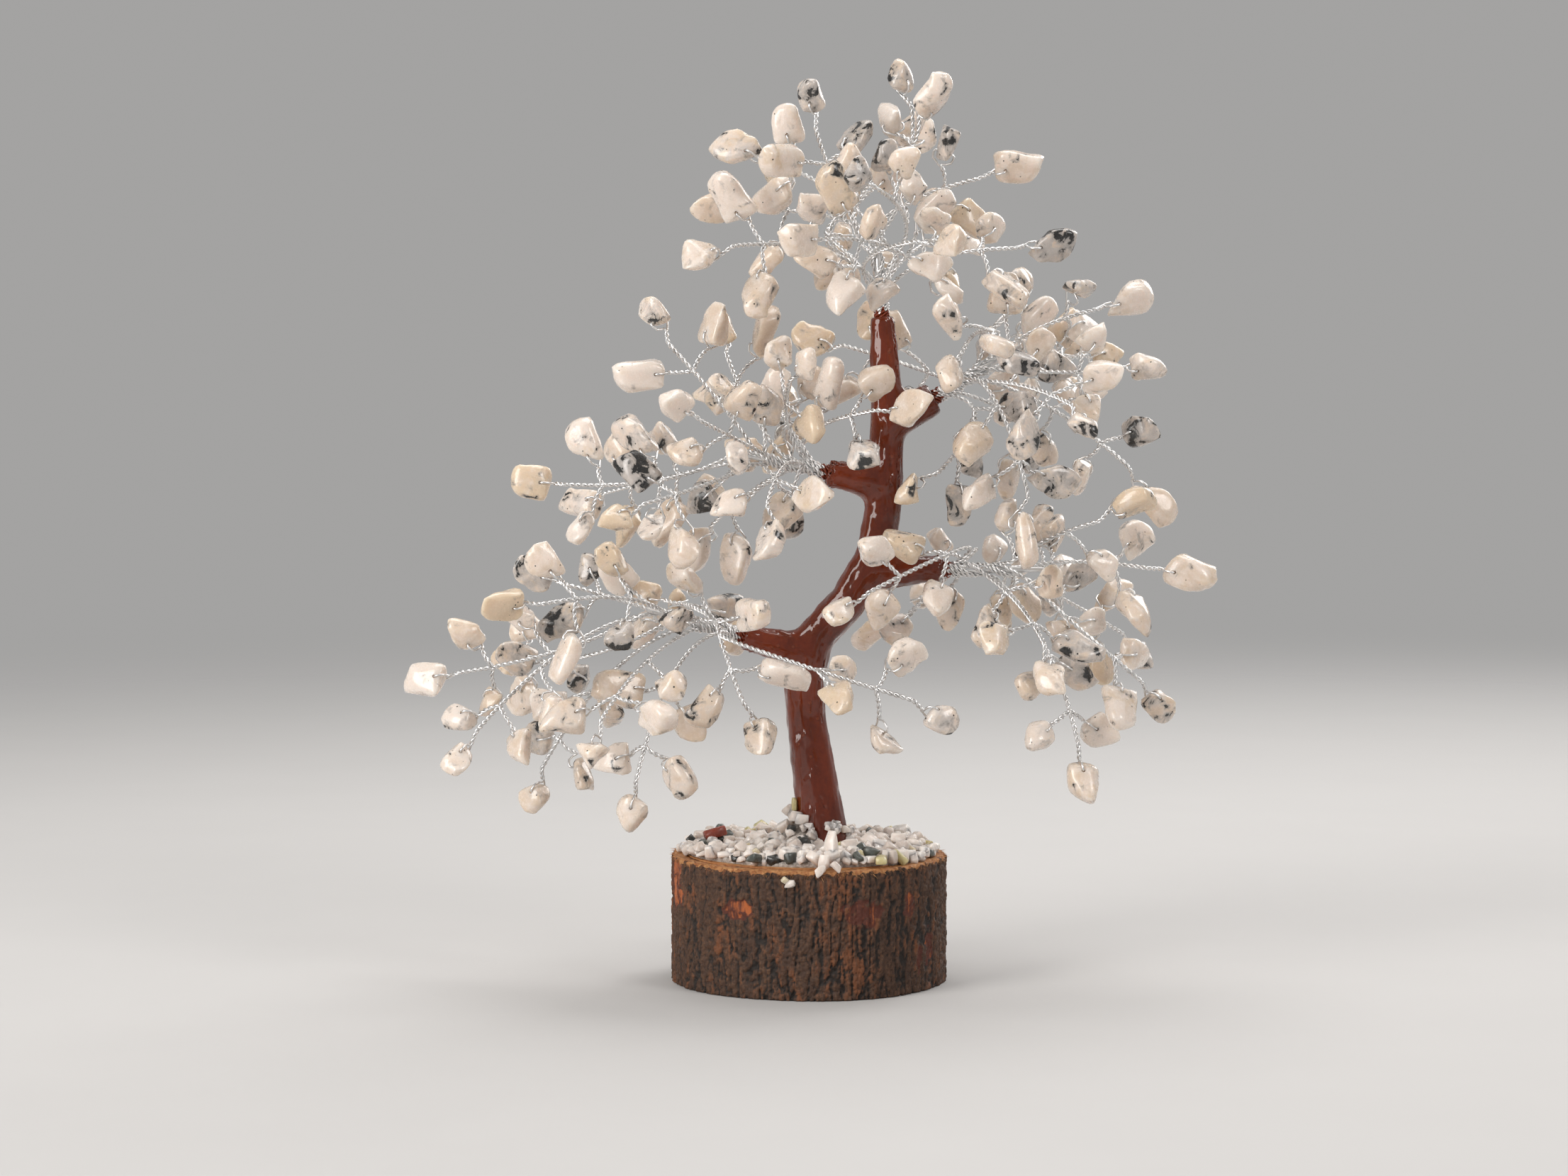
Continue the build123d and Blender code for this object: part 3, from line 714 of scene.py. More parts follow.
# %% [markdown]
# ## Bundles
# At each mouth the stems lie side by side round the bundle like the strands of a rope, and leave it one
# by one. The stems are spread evenly round the mouth in the order in which they leave, and each winds
# from there to its own way out, over a thick core that fills the middle.

# %% Bundles and boughs
BUNDLE_RADIUS = 2.0
BUNDLE_END_RADIUS = 0.9
BUNDLE_RUN = 32.0
CORE_SHARE = 0.8
BUNDLE_TWIST = 0.4
SUNK_IN = 1.8
MOUTH_PINCH = 0.3
LACQUER_RUN = 1.7


def mouth_of(bough):
    """A bough's mouth on the trunk, the way it leaves and two directions across it."""
    joint = next(one for one in frame["joints"] if one["child"] == bough + "_bough")
    mouth = np.array(joint["pos_m"]) / MM
    corners = np.array([corner.co for solid in solids_of(bough + "_bundle") for corner in solid]) / MM
    corners = corners[np.argsort(np.linalg.norm(corners - mouth, axis=1))]
    half = len(corners) // 2
    heading = unit(corners[half:].mean(axis=0) - corners[:half].mean(axis=0))
    across = unit(np.cross(heading, (0.3, 1.0, 0.2)))
    return mouth, heading, across, np.cross(heading, across)


def eased(share):
    """A smooth step from 0 to 1."""
    share = min(1.0, max(0.0, share))
    return share * share * (3 - 2 * share)


def bundle_radius(along):
    """The bundle's radius, pinched in the mouth and tapered along its run."""
    body = BUNDLE_RADIUS + (BUNDLE_END_RADIUS - BUNDLE_RADIUS) * max(along, 0) / BUNDLE_RUN
    return body - MOUTH_PINCH * eased((3 - along) / 5)


def leaving(sprig, mouth, heading, across, up):
    """How far along the bundle a stem leaves it, how far from the middle and at which turn."""
    start = sprig["bend"][0] - mouth
    run = start @ heading
    return run, np.linalg.norm(start - run * heading), math.atan2(start @ up, start @ across)


def stem_way(sprig, turn_at_mouth, mouth, heading, across, up):
    """A stem's even line, wound along the bundle and then in one bend to its tip chip's edge."""
    start, bend, tip = sprig["bend"]
    run, far, leave = leaving(sprig, mouth, heading, across, up)
    spare = leave - run * BUNDLE_TWIST - turn_at_mouth
    winding = run * BUNDLE_TWIST + (spare + math.pi) % (2 * math.pi) - math.pi
    wound = []
    for along in np.linspace(-SUNK_IN, run, 24)[:-1]:
        share = max(along, 0) / run
        turn = turn_at_mouth + winding * share
        radius = bundle_radius(along) + (far - bundle_radius(run)) * share ** 4
        wound.append(mouth + along * heading + radius * (math.cos(turn) * across + math.sin(turn) * up))
    bent = [point for point in bowed(start, bend, tip)
            if (point - sprig["seat"]["hole"]) @ sprig["seat"]["along"] < -HOLE_TO_EDGE - 4]
    return softened(even(wound + bent + [near_edge(sprig["seat"])]), 12)


def sprig_way(sprig, line):
    """The unbroken way of a sprig's one wire, out along its stem and back."""
    out, back = twisted(line, sprig["seat"]["facing"])
    nodes = sorted(sprig["twigs"], key=lambda twig: twig["at"])
    way, done = [], 0
    for twig in nodes[0::2]:
        way += [*out[done:twig["at"]], *twig_way(line[twig["at"]], twig["seat"])]
        done = twig["at"]
    way += [*out[done:], *chip_loop(sprig["seat"])]
    done = len(line)
    for twig in nodes[1::2][::-1]:
        way += [*back[twig["at"]:done][::-1], *twig_way(line[twig["at"]], twig["seat"])]
        done = twig["at"]
    return way + [*back[:done][::-1]]


def add_spline(curve, points, radii=None):
    spline = curve.splines.new("POLY")
    spline.points.add(len(points) - 1)
    spline.points.foreach_set("co", np.column_stack([np.array(points) * MM, np.ones(len(points))]).ravel())
    if radii is not None:
        spline.points.foreach_set("radius", radii)


for bough in BOUGHS:
    mouth, heading, across, up = mouth_of(bough)
    curve = bpy.data.curves.new(bough + "_wires", "CURVE")
    curve.dimensions = "3D"
    curve.bevel_depth = WIRE_RADIUS * MM
    curve.bevel_resolution = 1
    curve.use_fill_caps = True
    for sprig in sprigs[bough]:
        run, far, leave = leaving(sprig, mouth, heading, across, up)
        sprig["natural"] = (leave - run * BUNDLE_TWIST) % (2 * math.pi)
    ordered = sorted(sprigs[bough], key=lambda sprig: sprig["natural"])
    for number, sprig in enumerate(ordered):
        turn_at_mouth = ordered[0]["natural"] + 2 * math.pi * number / len(ordered)
        sprig["line"] = stem_way(sprig, turn_at_mouth, mouth, heading, across, up)
        sprig["twigs"] = []
    for twig in twigs[bough]:
        def gap(sprig):
            return np.linalg.norm(sprig["line"] - twig["start"], axis=1).min()

        own = min(ordered, key=gap)
        root = twig["start"] - 2 * CAD_WIRE_LIFT * twig["seat"]["along"]
        twig["at"] = int(np.argmin(np.linalg.norm(own["line"] - root, axis=1)))
        own["twigs"].append(twig)
    for sprig in ordered:
        add_spline(curve, sprig_way(sprig, sprig["line"]))
    core = np.linspace(-SUNK_IN, BUNDLE_RUN - 2, 24)
    taper = [CORE_SHARE * bundle_radius(along) / WIRE_RADIUS for along in core]
    add_spline(curve, [mouth + along * heading for along in core], taper)

    piece = bpy.data.objects.new(bough + "_wires", curve)
    bpy.context.scene.collection.objects.link(piece)
    only(piece)
    bpy.ops.object.convert(target="MESH")
    piece = bpy.context.object
    spots = np.empty(3 * len(piece.data.vertices), dtype=np.float32)
    piece.data.vertices.foreach_get("co", spots)
    spots = spots.reshape(-1, 3) / MM - mouth
    along = spots @ heading
    aside = np.linalg.norm(spots - np.outer(along, heading), axis=1)
    turn = np.arctan2(spots @ up, spots @ across)
    run = LACQUER_RUN + 0.9 * np.sin(7 * turn) + 0.5 * np.sin(3 * turn + 1)
    red = np.clip(run - along + 0.5, 0, 1) * (aside < 3.2)
    look = piece.data.attributes.new("look", "FLOAT_COLOR", "POINT")
    colours = np.column_stack([red, 0 * red, 0 * red, 0 * red + 1])
    look.data.foreach_set("color", colours.astype(np.float32).ravel())
    bpy.ops.object.shade_smooth()
    dress(piece, silver, bough + "_bough", "wire", bough + "_bundle", bough + "_stems", bough + "_twigs")
    print(piece.name, len(ordered), "sprigs", len(piece.data.polygons), "faces")

# %% [markdown]
# ## Lacquered trunk
# The wires of the trunk are dipped in thick red-brown lacquer, which rounds every corner and runs into
# the forks. The CAD trunk has flat facets, so copies of its two nodes are melted into one skin by a voxel
# remesh. Swelling that skin, remeshing it and shrinking it again fills the forks as lacquer does. Then it
# gets the slow waves of lacquer that ran down before it set.

# %% Lacquer finish
lacquer = Finish("red_lacquer", Coat_Roughness=0.04, IOR=1.5, Specular_IOR_Level=0.05)
depth = lacquer.noise(9.0, detail=5.0, stretch=(1.0, 1.0, 0.35))
fleck = lacquer.noise(1.1, detail=3.0)
body = lacquer.mix(lacquer.ramp(depth * 0.8 + fleck * 0.2, 0.35, 0.7), LACQUER_DARK, LACQUER_RED)
bubbles = lacquer.ramp(0.3 - lacquer.cells(4.5), 0.14, 0.2)
lacquer.feed("Base Color", lacquer.mix(bubbles * 0.5, body, (0.22, 0.06, 0.03)))
lacquer.feed("Roughness", 0.14 + fleck * 0.16)
lacquer.feed("Coat Weight", 1.0 - bubbles * 0.3)
lacquer.bump(depth * 0.5 + fleck * 0.15 + bubbles * 0.35, 0.8, 0.8)
print("lacquer ready")

# %% Trunk
VOXEL = 0.7 * MM
FORK_FILL = 2.4
SKIN_SWELL = 0.45
LIPS = {"upper_right": (1.9, 13.0)}
LIP_SWELL, LIP_REACH = 0.8, 8.0
log_low, log_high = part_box("log_core")
LOG_TOP = log_high[2] / MM
TRUNK_NODES = "trunk_coat", "trunk_core"
trunk = joined("trunk", [copy_of(frame["nodes"][node].data, Matrix(), (0.0, 0.0, 0.0)) for node in TRUNK_NODES])
bpy.ops.object.mode_set(mode="EDIT")
bpy.ops.mesh.select_all(action="SELECT")
bpy.ops.mesh.remove_doubles(threshold=0.01 * MM)
bpy.ops.object.mode_set(mode="OBJECT")
apply_modifier(trunk, "REMESH", mode="VOXEL", voxel_size=VOXEL)
bpy.ops.object.mode_set(mode="EDIT")
slice_off((0, 0, (LOG_TOP - 1) * MM), (0, 0, -1))
bpy.ops.object.mode_set(mode="OBJECT")
apply_modifier(trunk, "SMOOTH", factor=0.5, iterations=4)
apply_modifier(trunk, "DISPLACE", strength=FORK_FILL * MM, mid_level=0.0)
apply_modifier(trunk, "REMESH", mode="VOXEL", voxel_size=VOXEL)
apply_modifier(trunk, "SMOOTH", factor=0.5, iterations=10)
apply_modifier(trunk, "DISPLACE", strength=-FORK_FILL * MM, mid_level=0.0)
mouths = []
for bough in BOUGHS:
    mouth, heading = mouth_of(bough)[:2]
    mouths.append((Vector(mouth), Vector(heading), *LIPS.get(bough, (LIP_SWELL, LIP_REACH))))
for corner in trunk.data.vertices:
    spot = corner.co / MM
    for mouth, heading, swell, reach in mouths:
        aside = spot - mouth
        near = eased(1 - aside.length / reach)
        aside -= aside.dot(heading) * heading
        corner.co += aside.normalized() * swell * near * eased(aside.length / 1.5) * MM
    wave = noise.noise(Vector((spot.x / 6, spot.y / 6, spot.z / 18)))
    ripple = noise.noise(Vector((spot.x / 2.2, spot.y / 2.2, spot.z / 4.5)))
    corner.co += corner.normal * (SKIN_SWELL + 0.45 * wave + 0.3 * ripple) * MM
only(trunk)
bpy.ops.object.shade_smooth()
dress(trunk, lacquer, "base", "lacquer", *TRUNK_NODES)
print("trunk", len(trunk.data.polygons), "faces")

# %% [markdown]
# ## Bark
# The bark is a skin of small upright scales, dark brown, with a few places where it flaked off and the
# orange layer below shows. A turned profile is the base: a screw modifier turns it round the log, and then
# each of its corners is pushed in by long cells for the scales, longer noise for the fissures, fine noise
# for the roughness and ragged patches for the flakes. How deep (for the shade painted into the hollows),
# how flaked and how freshly sawn each corner is goes in its colour attribute.

# %% Bark finish
# The first colour is painted shade for the bark's hollows, not a colour of the bark itself.
BARK_PAINTED_SHADE = (0.012, 0.006, 0.003)
BARK_BROWN = (0.055, 0.022, 0.009)
BARK_PALE = (0.135, 0.064, 0.030)
BARK_RUST = (0.200, 0.062, 0.017)
FLAKE_RED = (0.095, 0.019, 0.007)
FLAKE_ORANGE = (0.45, 0.115, 0.024)
SAWN_PALE = (0.58, 0.29, 0.11)
SAWN_DARK = (0.36, 0.13, 0.04)
bark = Finish("log_bark", Specular_IOR_Level=0.5)
painted_shade_depth, flaked, sawn = (bark.look("look", channel) for channel in ("Red", "Green", "Blue"))
patchy = bark.noise(7.0, stretch=(1.0, 1.0, 0.4))
streaks = bark.noise(1.6, detail=5.0, stretch=(1.0, 1.0, 0.3))
crust = bark.noise(0.8, detail=5.0, roughness=0.7)
skin = bark.mix(bark.ramp(crust * 0.6 + streaks * 0.4, 0.44, 0.66), BARK_BROWN, BARK_PALE)
skin = bark.mix(bark.ramp(patchy * 0.5 + streaks * 0.5, 0.50, 0.62) * 0.8, skin, BARK_RUST)
# Painted shade: the deeper a corner is pushed in, the closer its colour goes to near-black.
skin = bark.mix(bark.ramp(painted_shade_depth + crust * 0.3, 0.50, 0.85), skin, BARK_PAINTED_SHADE)
slivers = bark.noise(1.3, detail=4.0, stretch=(1.0, 1.0, 0.15))
under = bark.mix(bark.ramp(flaked * 0.4 + slivers, 0.74, 0.98), FLAKE_RED, FLAKE_ORANGE)
skin = bark.mix(bark.ramp(flaked + crust * 0.5 + slivers * 0.3, 0.50, 0.80), skin, under)
fresh_cut = bark.mix(bark.ramp(streaks, 0.35, 0.65), SAWN_DARK, SAWN_PALE)
bark.feed("Base Color", bark.mix(bark.ramp(sawn + crust * 0.3, 0.45, 0.75), skin, fresh_cut))
bark.feed("Roughness", 0.3 + crust * 0.5)
bark.bump(crust * 0.6 + streaks * 0.4, 0.7, 1.0)
print("bark finish ready")

# %% Bark jacket
LOG_RADIUS = 41.0
BARK_DEPTH = 4.9
BARK_COLUMNS = 640
BARK_ROWS = 100
TORN_EDGE = 1.4
# Flaked places: angle in degrees, height, half width, half height and how bright
FLAKES = ((-121, 26, 5.6, 3.4, 1.0), (-66, 25.2, 7.6, 4.4, 0.5), (-166, 30.0, 8.5, 9.0, 1.0),
          (-43, 26.7, 2.2, 4.6, 0.6), (-28, 12.4, 2.2, 6.0, 0.6), (-36, 10.0, 1.8, 5.0, 0.5),
          (35, 18, 6.0, 4.0, 0.95), (96, 27, 5.0, 3.0, 0.5), (150, 14, 4.0, 6.0, 0.8))


def log_reach(angle):
    """The log's slightly uneven round, as in the CAD."""
    return LOG_RADIUS * (1 + 0.016 * math.cos(2 * angle + 0.7) + 0.008 * math.cos(5 * angle))


def flake_at(angle, height, ragged):
    """How flaked the bark is at a place, from 0 to 1."""
    most = 0.0
    for degrees, level, half_width, half_height, bright in FLAKES:
        turn = (angle - math.radians(degrees) + math.pi) % (2 * math.pi) - math.pi
        off = (turn * LOG_RADIUS / half_width) ** 2 + ((height - level) / half_height) ** 2
        most = max(most, bright * min(1.0, max(0.0, 1.5 * (1 - off + 0.9 * ragged))))
    return most


heights = np.linspace(0, LOG_TOP - 0.4, BARK_ROWS)
profile = [(BARK_DEPTH, 0.0)] + [(0.0, height) for height in heights]
profile += [(inset, LOG_TOP) for inset in (0.5, 1.4, 2.4, 3.6, BARK_DEPTH)]
mesh = bpy.data.meshes.new("bark_profile")
corners = [((LOG_RADIUS - inset) * MM, 0.0, height * MM) for inset, height in profile]
mesh.from_pydata(corners, [(number, (number + 1) % len(corners)) for number in range(len(corners))], [])
jacket = bpy.data.objects.new("bark_jacket", mesh)
bpy.context.scene.collection.objects.link(jacket)
apply_modifier(jacket, "SCREW", axis="Z", angle=2 * math.pi, steps=BARK_COLUMNS, render_steps=BARK_COLUMNS,
               use_merge_vertices=True)
looks = []
for corner in jacket.data.vertices:
    spot = corner.co / MM
    angle, inset = math.atan2(spot.y, spot.x), LOG_RADIUS - math.hypot(spot.x, spot.y)
    scales = noise.voronoi(Vector((spot.x / 1.1, spot.y / 1.1, spot.z / 2.2)))[0]
    fissure = max(0.0, 1 - abs(noise.noise(Vector((spot.x / 2.6, spot.y / 2.6, spot.z / 18)))) / 0.16)
    rasp = noise.noise(Vector((spot.x / 0.7, spot.y / 0.7, spot.z / 1.0)))
    ragged = noise.fractal(spot / 2.2, 1.0, 2.0, 3)
    flake = flake_at(angle, spot.z, ragged)
    crack = max(0.0, 1 - (scales[1] - scales[0]) / 0.3)
    relief = 0.4 * crack + 0.55 * fissure + 0.3 * ragged + 0.3 * rasp + 0.2
    relief = relief * (1 - 0.6 * flake) + 0.6 * flake
    torn = eased((spot.z - LOG_TOP + TORN_EDGE * (1 + ragged)) / TORN_EDGE)
    on_top = min(1.0, max(inset, 0.0) / BARK_DEPTH)
    reach = log_reach(angle) - inset - max(0.0, relief) * (1 - on_top) * (1 - torn) - 0.9 * torn * (1 - on_top)
    rough = 0.3 * torn * (noise.noise(spot / 1.1) - 1)
    corner.co = Vector((reach * math.cos(angle), reach * math.sin(angle), spot.z + rough)) * MM
    # Red is the depth that the finish turns into painted shade in the hollows.
    looks += [min(1.0, max(0.0, relief) / 1.2), flake, torn, 1.0]
jacket.data.attributes.new("look", "FLOAT_COLOR", "POINT").data.foreach_set("color", looks)
face_out(jacket)
bpy.ops.object.shade_smooth()
print("bark jacket", len(jacket.data.polygons), "faces")

# %% Splinters on the sawn rim
SPLINTERS = 1600
FUZZY_SIDE = math.radians(-112)
dice = random.Random(8)
cone = fresh(bpy.ops.mesh.primitive_cone_add, vertices=3, radius1=0.12, radius2=0.0, depth=1.0,
             location=(0, 0, 0.5))
parts = [jacket]
for number in range(SPLINTERS):
    angle = dice.uniform(-math.pi, math.pi)
    tuft = max(0.0, noise.noise(Vector((3 * math.cos(angle), 3 * math.sin(angle), 0.4))))
    tuft += 0.5 * max(0.0, math.cos(angle - FUZZY_SIDE)) ** 12
    out = Vector((math.cos(angle), math.sin(angle), 0.0))
    bent = Vector((dice.uniform(-0.9, 0.9), dice.uniform(-0.9, 0.9), dice.uniform(-1.5, 0.4)))
    aim = (out + bent).normalized()
    root = out * (log_reach(angle) - dice.uniform(1.1, 2.2)) + Vector((0, 0, LOG_TOP - dice.uniform(0.2, 1.2)))
    size = Matrix.Diagonal((1.0, 1.0, dice.uniform(0.9, 2.2) + 2.2 * tuft * dice.random(), 1.0))
    place = Matrix.Translation(root) @ aim.to_track_quat("Z", "Y").to_matrix().to_4x4() @ size
    parts.append(copy_of(cone.data, Matrix.Diagonal((MM, MM, MM, 1.0)) @ place, (0.0, 0.0, 1.0)))
discard([cone])
jacket = joined("bark_jacket", parts)
dress(jacket, bark, "base", "bark", "bark")
print("splinters", SPLINTERS)

# %% [markdown]
# ## Sawn wood
# Only the underside and a narrow ring of the log's core can be seen. It keeps its CAD shape, and its
# finish has the year rings and the marks of the saw.

# %% Sawn wood finish
sawn_wood = Finish("sawn_wood", Roughness=0.75)
wobble = sawn_wood.noise(22.0, detail=2.0)
spot = sawn_wood.place()
level = sawn_wood.node("ShaderNodeVectorMath", {0: spot, 1: (1, 1, 0)}, operation="MULTIPLY")
across = sawn_wood.node("ShaderNodeVectorMath", {0: level}, output="Value", operation="LENGTH")
phase = across * 1700.0 + wobble * 9.0
rings = phase.math("SINE", phase, 0.0)
fibre = sawn_wood.noise(0.9, detail=5.0, stretch=(1.0, 0.12, 1.0))
wood = sawn_wood.mix(sawn_wood.ramp(rings, -0.6, 1.0), SAWN_PALE, SAWN_DARK)
sawn_wood.feed("Base Color", sawn_wood.mix(sawn_wood.ramp(fibre, 0.35, 0.75) * 0.6, wood, SAWN_PALE))
sawn_wood.bump(fibre * 0.7 + rings * 0.2, 0.25, 0.6)
core = frame["nodes"]["log_core"]
core.data.materials.clear()
core.data.materials.append(sawn_wood.material)
print("sawn wood ready")

# %% [markdown]
# ## Gravel
# Broken quartz is glued on the log and heaped against the trunk, highest at its left. The bed under it
# is turned like the bark and lifted to the heap's height. The grains are thrown on the bed one by one, and
# a throw counts only where no other grain is too near, which packs them closely without any pattern. A few
# clusters stick to the trunk's front, and some grains that stand out are set one by one.

# %% Gravel finishes
grit = Finish("sandy_glue", Roughness=0.7)
sand = grit.noise(0.9, detail=5.0, roughness=0.7)
grit.feed("Base Color", grit.mix(grit.ramp(sand, 0.35, 0.7), (0.34, 0.29, 0.25), (0.68, 0.63, 0.58)))
grit.bump(sand, 0.8, 0.9)


def gravel(name, first, second, third):
    """A glassy broken stone between three colours, chosen by each grain's attribute."""
    stone = Finish(name, IOR=1.54, Subsurface_Weight=0.7, Subsurface_Scale=0.0025)
    stone.shader.inputs["Subsurface Radius"].default_value = (1.0, 0.9, 0.8)
    tone = stone.look("look", "Red")
    cloud = stone.noise(1.8, detail=4.0)
    body = stone.mix(stone.ramp(tone + cloud * 0.3, 0.15, 0.75), first, second)
    body = stone.mix(stone.ramp(tone + cloud * 0.2, 0.90, 1.05), body, third)
    stone.feed("Base Color", body)
    stone.feed("Roughness", 0.12 + cloud * 0.35)
    stone.bump(cloud, 0.3, 0.5)
    return stone


GRAVELS = {"white": gravel("white_gravel", (0.58, 0.51, 0.46), (0.82, 0.74, 0.68), (0.74, 0.67, 0.62)),
           "dark": gravel("dark_gravel", (0.030, 0.030, 0.028), (0.085, 0.095, 0.085), (0.20, 0.20, 0.18)),
           "amber": gravel("amber_gravel", (0.64, 0.55, 0.40), (0.54, 0.48, 0.25), (0.26, 0.055, 0.032))}
print("gravels", list(GRAVELS))

# %% Gravel bed
FOOT = Vector((5.2, 0.0))
TRUNK_RADIUS = 8.0
HEAP_SIDE = math.radians(-168)
HEAP_HEIGHT = 12.0
BED_REACH = 37.0
FRONT_BARE = 4.5
BED_FOOT = -0.5


def bed_height(x, y):
    """The bed's height above the log: flat, a mound round the trunk and a heap at its left."""
    off = Vector((x, y)) - FOOT
    heap = max(0.0, math.cos(math.atan2(off.y, off.x) - HEAP_SIDE)) ** 3 * eased((17.5 - off.length) / 10)
    rim = eased((BED_REACH + 2.4 - math.hypot(x, y)) / 5)
    flat = 1.4 + 1.3 * noise.noise(Vector((x, y, 0)) / 8)
    return (flat + HEAP_HEIGHT * heap) * rim


def bare_rim(x, y):
    """How far the gravel stays back from its reach: most at the front, a little to the left."""
    return FRONT_BARE * max(0.0, math.cos(math.atan2(y, x) - math.radians(-112))) ** 2


mesh = bpy.data.meshes.new("bed_profile")
corners = [(reach * MM, 0.0, 0.0) for reach in np.linspace(0, BED_REACH, 48)]
corners += [(BED_REACH * MM, 0.0, BED_FOOT * MM), (0.0, 0.0, BED_FOOT * MM)]
mesh.from_pydata(corners, [(number - 1, number) for number in range(1, len(corners))], [])
bed = bpy.data.objects.new("gravel_bed", mesh)
bpy.context.scene.collection.objects.link(bed)
apply_modifier(bed, "SCREW", axis="Z", angle=2 * math.pi, steps=160, render_steps=160, use_merge_vertices=True)
for corner in bed.data.vertices:
    inner = 1 - bare_rim(*corner.co.xy) / BED_REACH
    corner.co.xy *= inner
    x, y = corner.co.x / MM, corner.co.y / MM
    rise = max(0.05, bed_height(x, y) + 0.4 * noise.noise(Vector((x, y, 4)) / 1.5))
    corner.co.z += (LOG_TOP + rise * (corner.co.z == 0)) * MM
face_out(bed, merge=True)
bpy.ops.object.shade_smooth()
dress(bed, grit, "base", "glue", "glue_bed")
print("gravel bed", len(bed.data.polygons), "faces")

# %% Grain shapes
GRAIN_SHAPES = 12
GRAIN_CUTS = 6
GRAIN_WEAR = 0.1


def grain_shape(dice):
    """A broken grain about one unit across: a block that lost its corners to chance cuts, with worn edges."""
    block = dice.uniform(0.95, 1.35), dice.uniform(0.7, 1.0), dice.uniform(0.55, 0.85)
    grain = fresh(bpy.ops.mesh.primitive_cube_add, size=1, scale=block)
    bpy.ops.object.mode_set(mode="EDIT")
    for number in range(GRAIN_CUTS):
        out = Vector([dice.gauss(0, 1) for axis in range(3)]).normalized()
        reach = max(corner.co.dot(out) for corner in bmesh.from_edit_mesh(grain.data).verts)
        slice_off(out * reach * dice.uniform(0.55, 0.82), out)
    bpy.ops.mesh.select_all(action="SELECT")
    bpy.ops.mesh.remove_doubles(threshold=0.06)
    bpy.ops.mesh.convex_hull(join_triangles=True)
    bpy.ops.mesh.bevel(offset=GRAIN_WEAR, affect="EDGES", clamp_overlap=True)
    bpy.ops.object.mode_set(mode="OBJECT")
    bpy.ops.object.shade_smooth()
    return grain


dice = random.Random(21)
grain_shapes = [grain_shape(dice) for number in range(GRAIN_SHAPES)]
print("grain shapes", [len(grain.data.polygons) for grain in grain_shapes], "faces")

# %% Throw the gravel
GRAVEL_REACH = 38.0
# Layers: throws, lift above the bed and how far apart, in grain sizes
THROWS = ((14000, 0.0, 0.82), (2600, 1.4, 1.05))
SHARES = {"white": 92, "dark": 5, "amber": 3}
GRAIN_SIZE = 1.9, 5.2, 2.9
grains = {colour: [] for colour in GRAVELS}


def lay_grain(colour, place, size, tone, tilt=1.0):
    """A grain at a place in millimetres, with a size for each of its axes and a tone from 0 to 1."""
    turn = Matrix.Rotation(dice.uniform(0, 2 * math.pi), 4, "Z")
    lean = Matrix.Rotation(dice.uniform(-0.9, 0.9) * tilt, 4, Vector((dice.gauss(0, 1), dice.gauss(0, 1), 0.1)))
    matrix = Matrix.Translation(place) @ lean @ turn @ Matrix.Diagonal((*size, 1.0))
    shape = dice.choice(grain_shapes).data
    grains[colour].append(copy_of(shape, Matrix.Diagonal((MM, MM, MM, 1.0)) @ matrix, (tone, 0.0, 0.0)))


for throws, lift, apart in THROWS:
    spots, sizes = np.zeros((0, 2)), np.zeros(0)
    for throw in range(throws):
        angle, reach = dice.uniform(0, 2 * math.pi), GRAVEL_REACH * math.sqrt(dice.random())
        spot = np.array([reach * math.cos(angle), reach * math.sin(angle)])
        size = dice.triangular(*GRAIN_SIZE)
        near = np.linalg.norm(spots - spot, axis=1) < apart * (sizes + size) / 2
        bare = reach > GRAVEL_REACH - bare_rim(*spot)
        if bare or near.any() or math.hypot(spot[0] - FOOT.x, spot[1] - FOOT.y) < TRUNK_RADIUS:
            continue
        spots, sizes = np.vstack([spots, spot]), np.append(sizes, size)
        height = LOG_TOP + max(0.3, bed_height(*spot)) + 0.22 * size + lift * eased((GRAVEL_REACH - reach) / 4)
        colour = dice.choices(list(SHARES), list(SHARES.values()))[0]
        stretched = [size * dice.uniform(0.85, 1.15) for axis in range(3)]
        lay_grain(colour, (*spot, height), stretched, dice.uniform(0, 0.85))
    print("layer of", len(sizes), "grains")

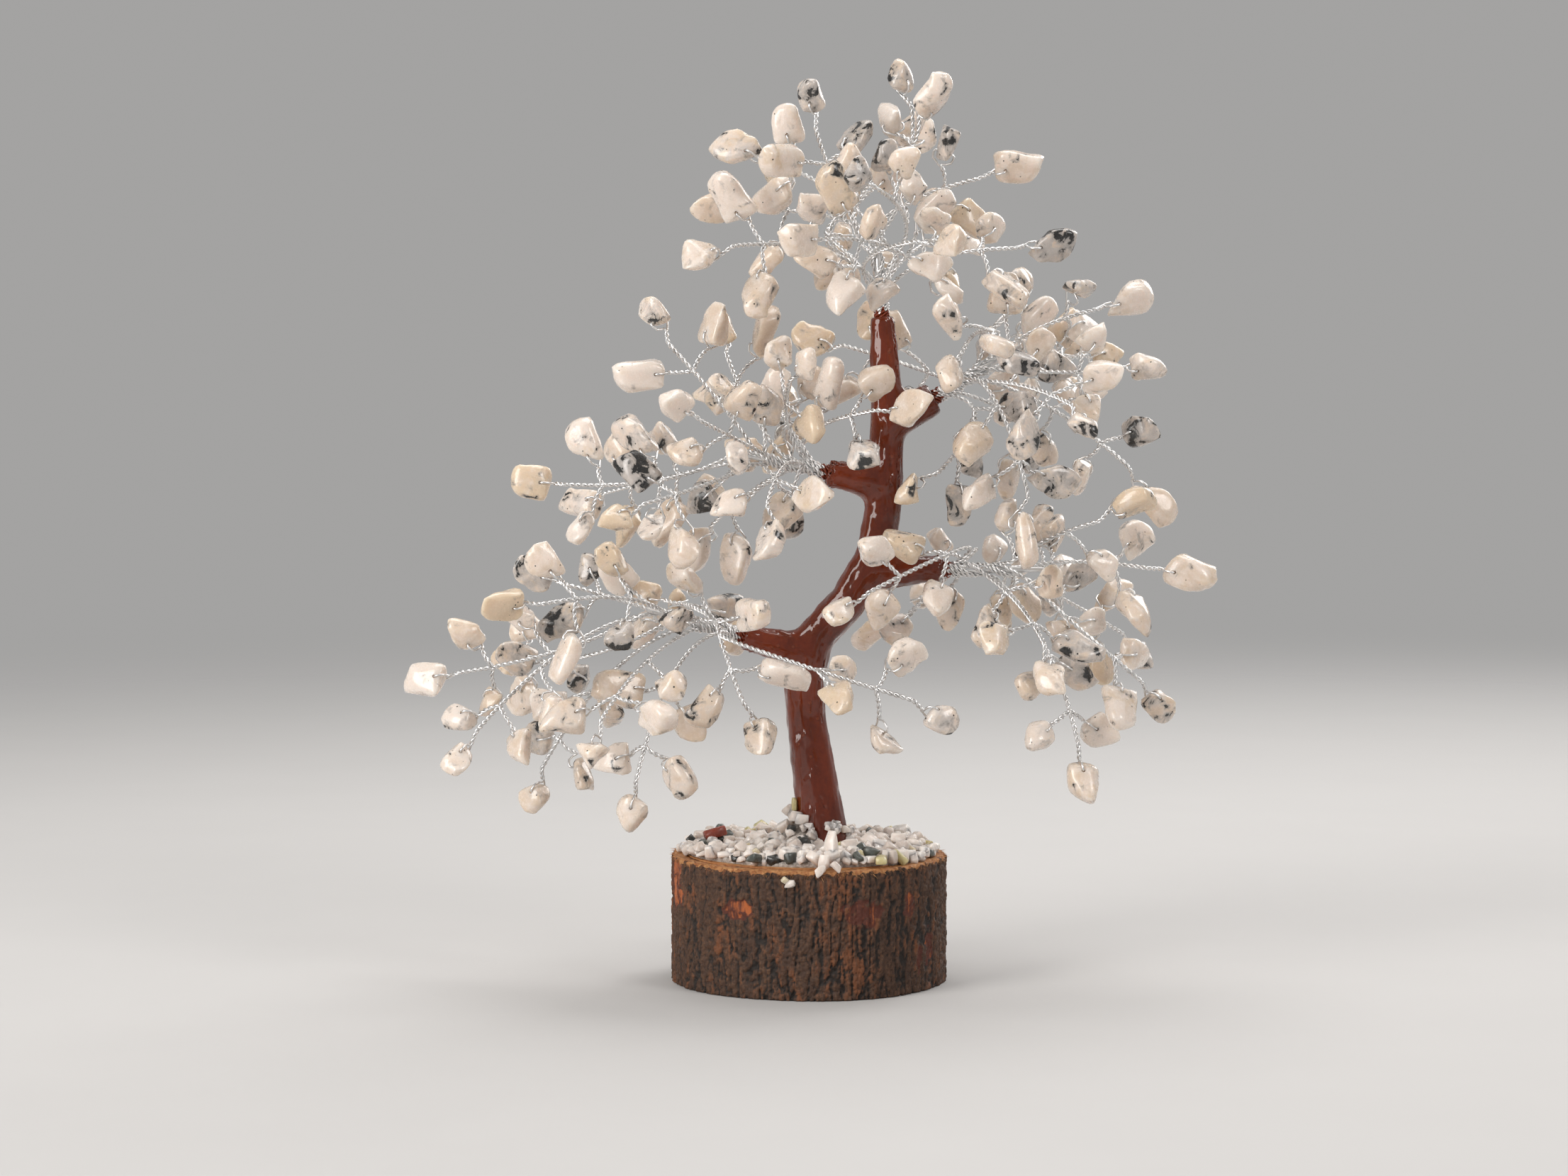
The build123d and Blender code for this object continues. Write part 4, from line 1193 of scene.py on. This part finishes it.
# %% Grains on the trunk, over the rim and on the bark
# Clusters: angle and its spread in degrees, height above the log and its spread, how many
CLUSTERS = ((-64, 12, 8.0, 1.7, 13), (-118, 10, 6.5, 3.0, 12), (-85, 50, 2.6, 1.2, 18),
            (-20, 12, 5.5, 2.5, 5))
for degrees, aside, level, spread, count in CLUSTERS:
    for number in range(count):
        angle = math.radians(degrees + dice.uniform(-aside, aside))
        height = level + dice.uniform(-spread, spread)
        reach = 9.2 - 0.16 * height
        spot = (FOOT.x - 0.12 * height + reach * math.cos(angle), reach * math.sin(angle), LOG_TOP + height)
        lay_grain("white", spot, [dice.uniform(1.5, 3.2) for axis in range(3)], dice.uniform(0.3, 0.85))
# Grains that stand out: colour, place, size, tone and tilt
SET_GRAINS = (
    ("amber", (-4.1, -2.0, 52.8), (1.7, 1.9, 4.6), 0.6, 0.2),
    ("amber", (-28.0, 2.5, 43.4), (5.0, 4.4, 4.4), 1.0, 1.0),
    ("amber", (21.5, -30.5, 40.2), (6.0, 3.6, 3.0), 0.5, 1.0),
    ("dark", (-15.5, -31.5, 40.6), (5.0, 3.0, 3.4), 0.8, 1.0),
    ("dark", (-1.0, -15.5, 43.4), (3.0, 2.6, 2.8), 0.1, 1.0),
    ("white", (7.0, -32.0, 43.6), (3.2, 3.0, 13.0), 0.7, 0.2),
    ("white", (4.6, -37.4, 40.2), (3.0, 2.6, 5.4), 0.5, 0.4),
    ("white", (3.6, -40.2, 38.2), (3.6, 2.0, 3.0), 0.3, 1.0),
    ("white", (8.4, -39.2, 39.2), (3.6, 2.0, 2.2), 0.2, 1.0),
    ("white", (-5.2, -40.9, 34.4), (2.4, 1.6, 3.0), 0.2, 1.0),
    ("amber", (-6.6, -40.9, 35.4), (1.8, 1.4, 2.2), 0.1, 1.0),
)
for set_grain in SET_GRAINS:
    lay_grain(*set_grain)
for colour, stone in GRAVELS.items():
    count = len(grains[colour])
    piece = joined(colour + "_grains", grains[colour])
    dress(piece, stone, "base", colour + "_gravel", "gravel_" + colour)
    print(piece.name, count, "grains", len(piece.data.polygons), "faces")
discard(grain_shapes)

# %% [markdown]
# ## Sizes
# The box of the CAD model and the box of the finished scene are kept side by side for comparison.

# %% The sizes of both boxes
boxes = {"cad": cad_box, "visual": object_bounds()}
{name: [list(corner) for corner in box] for name, box in boxes.items()}
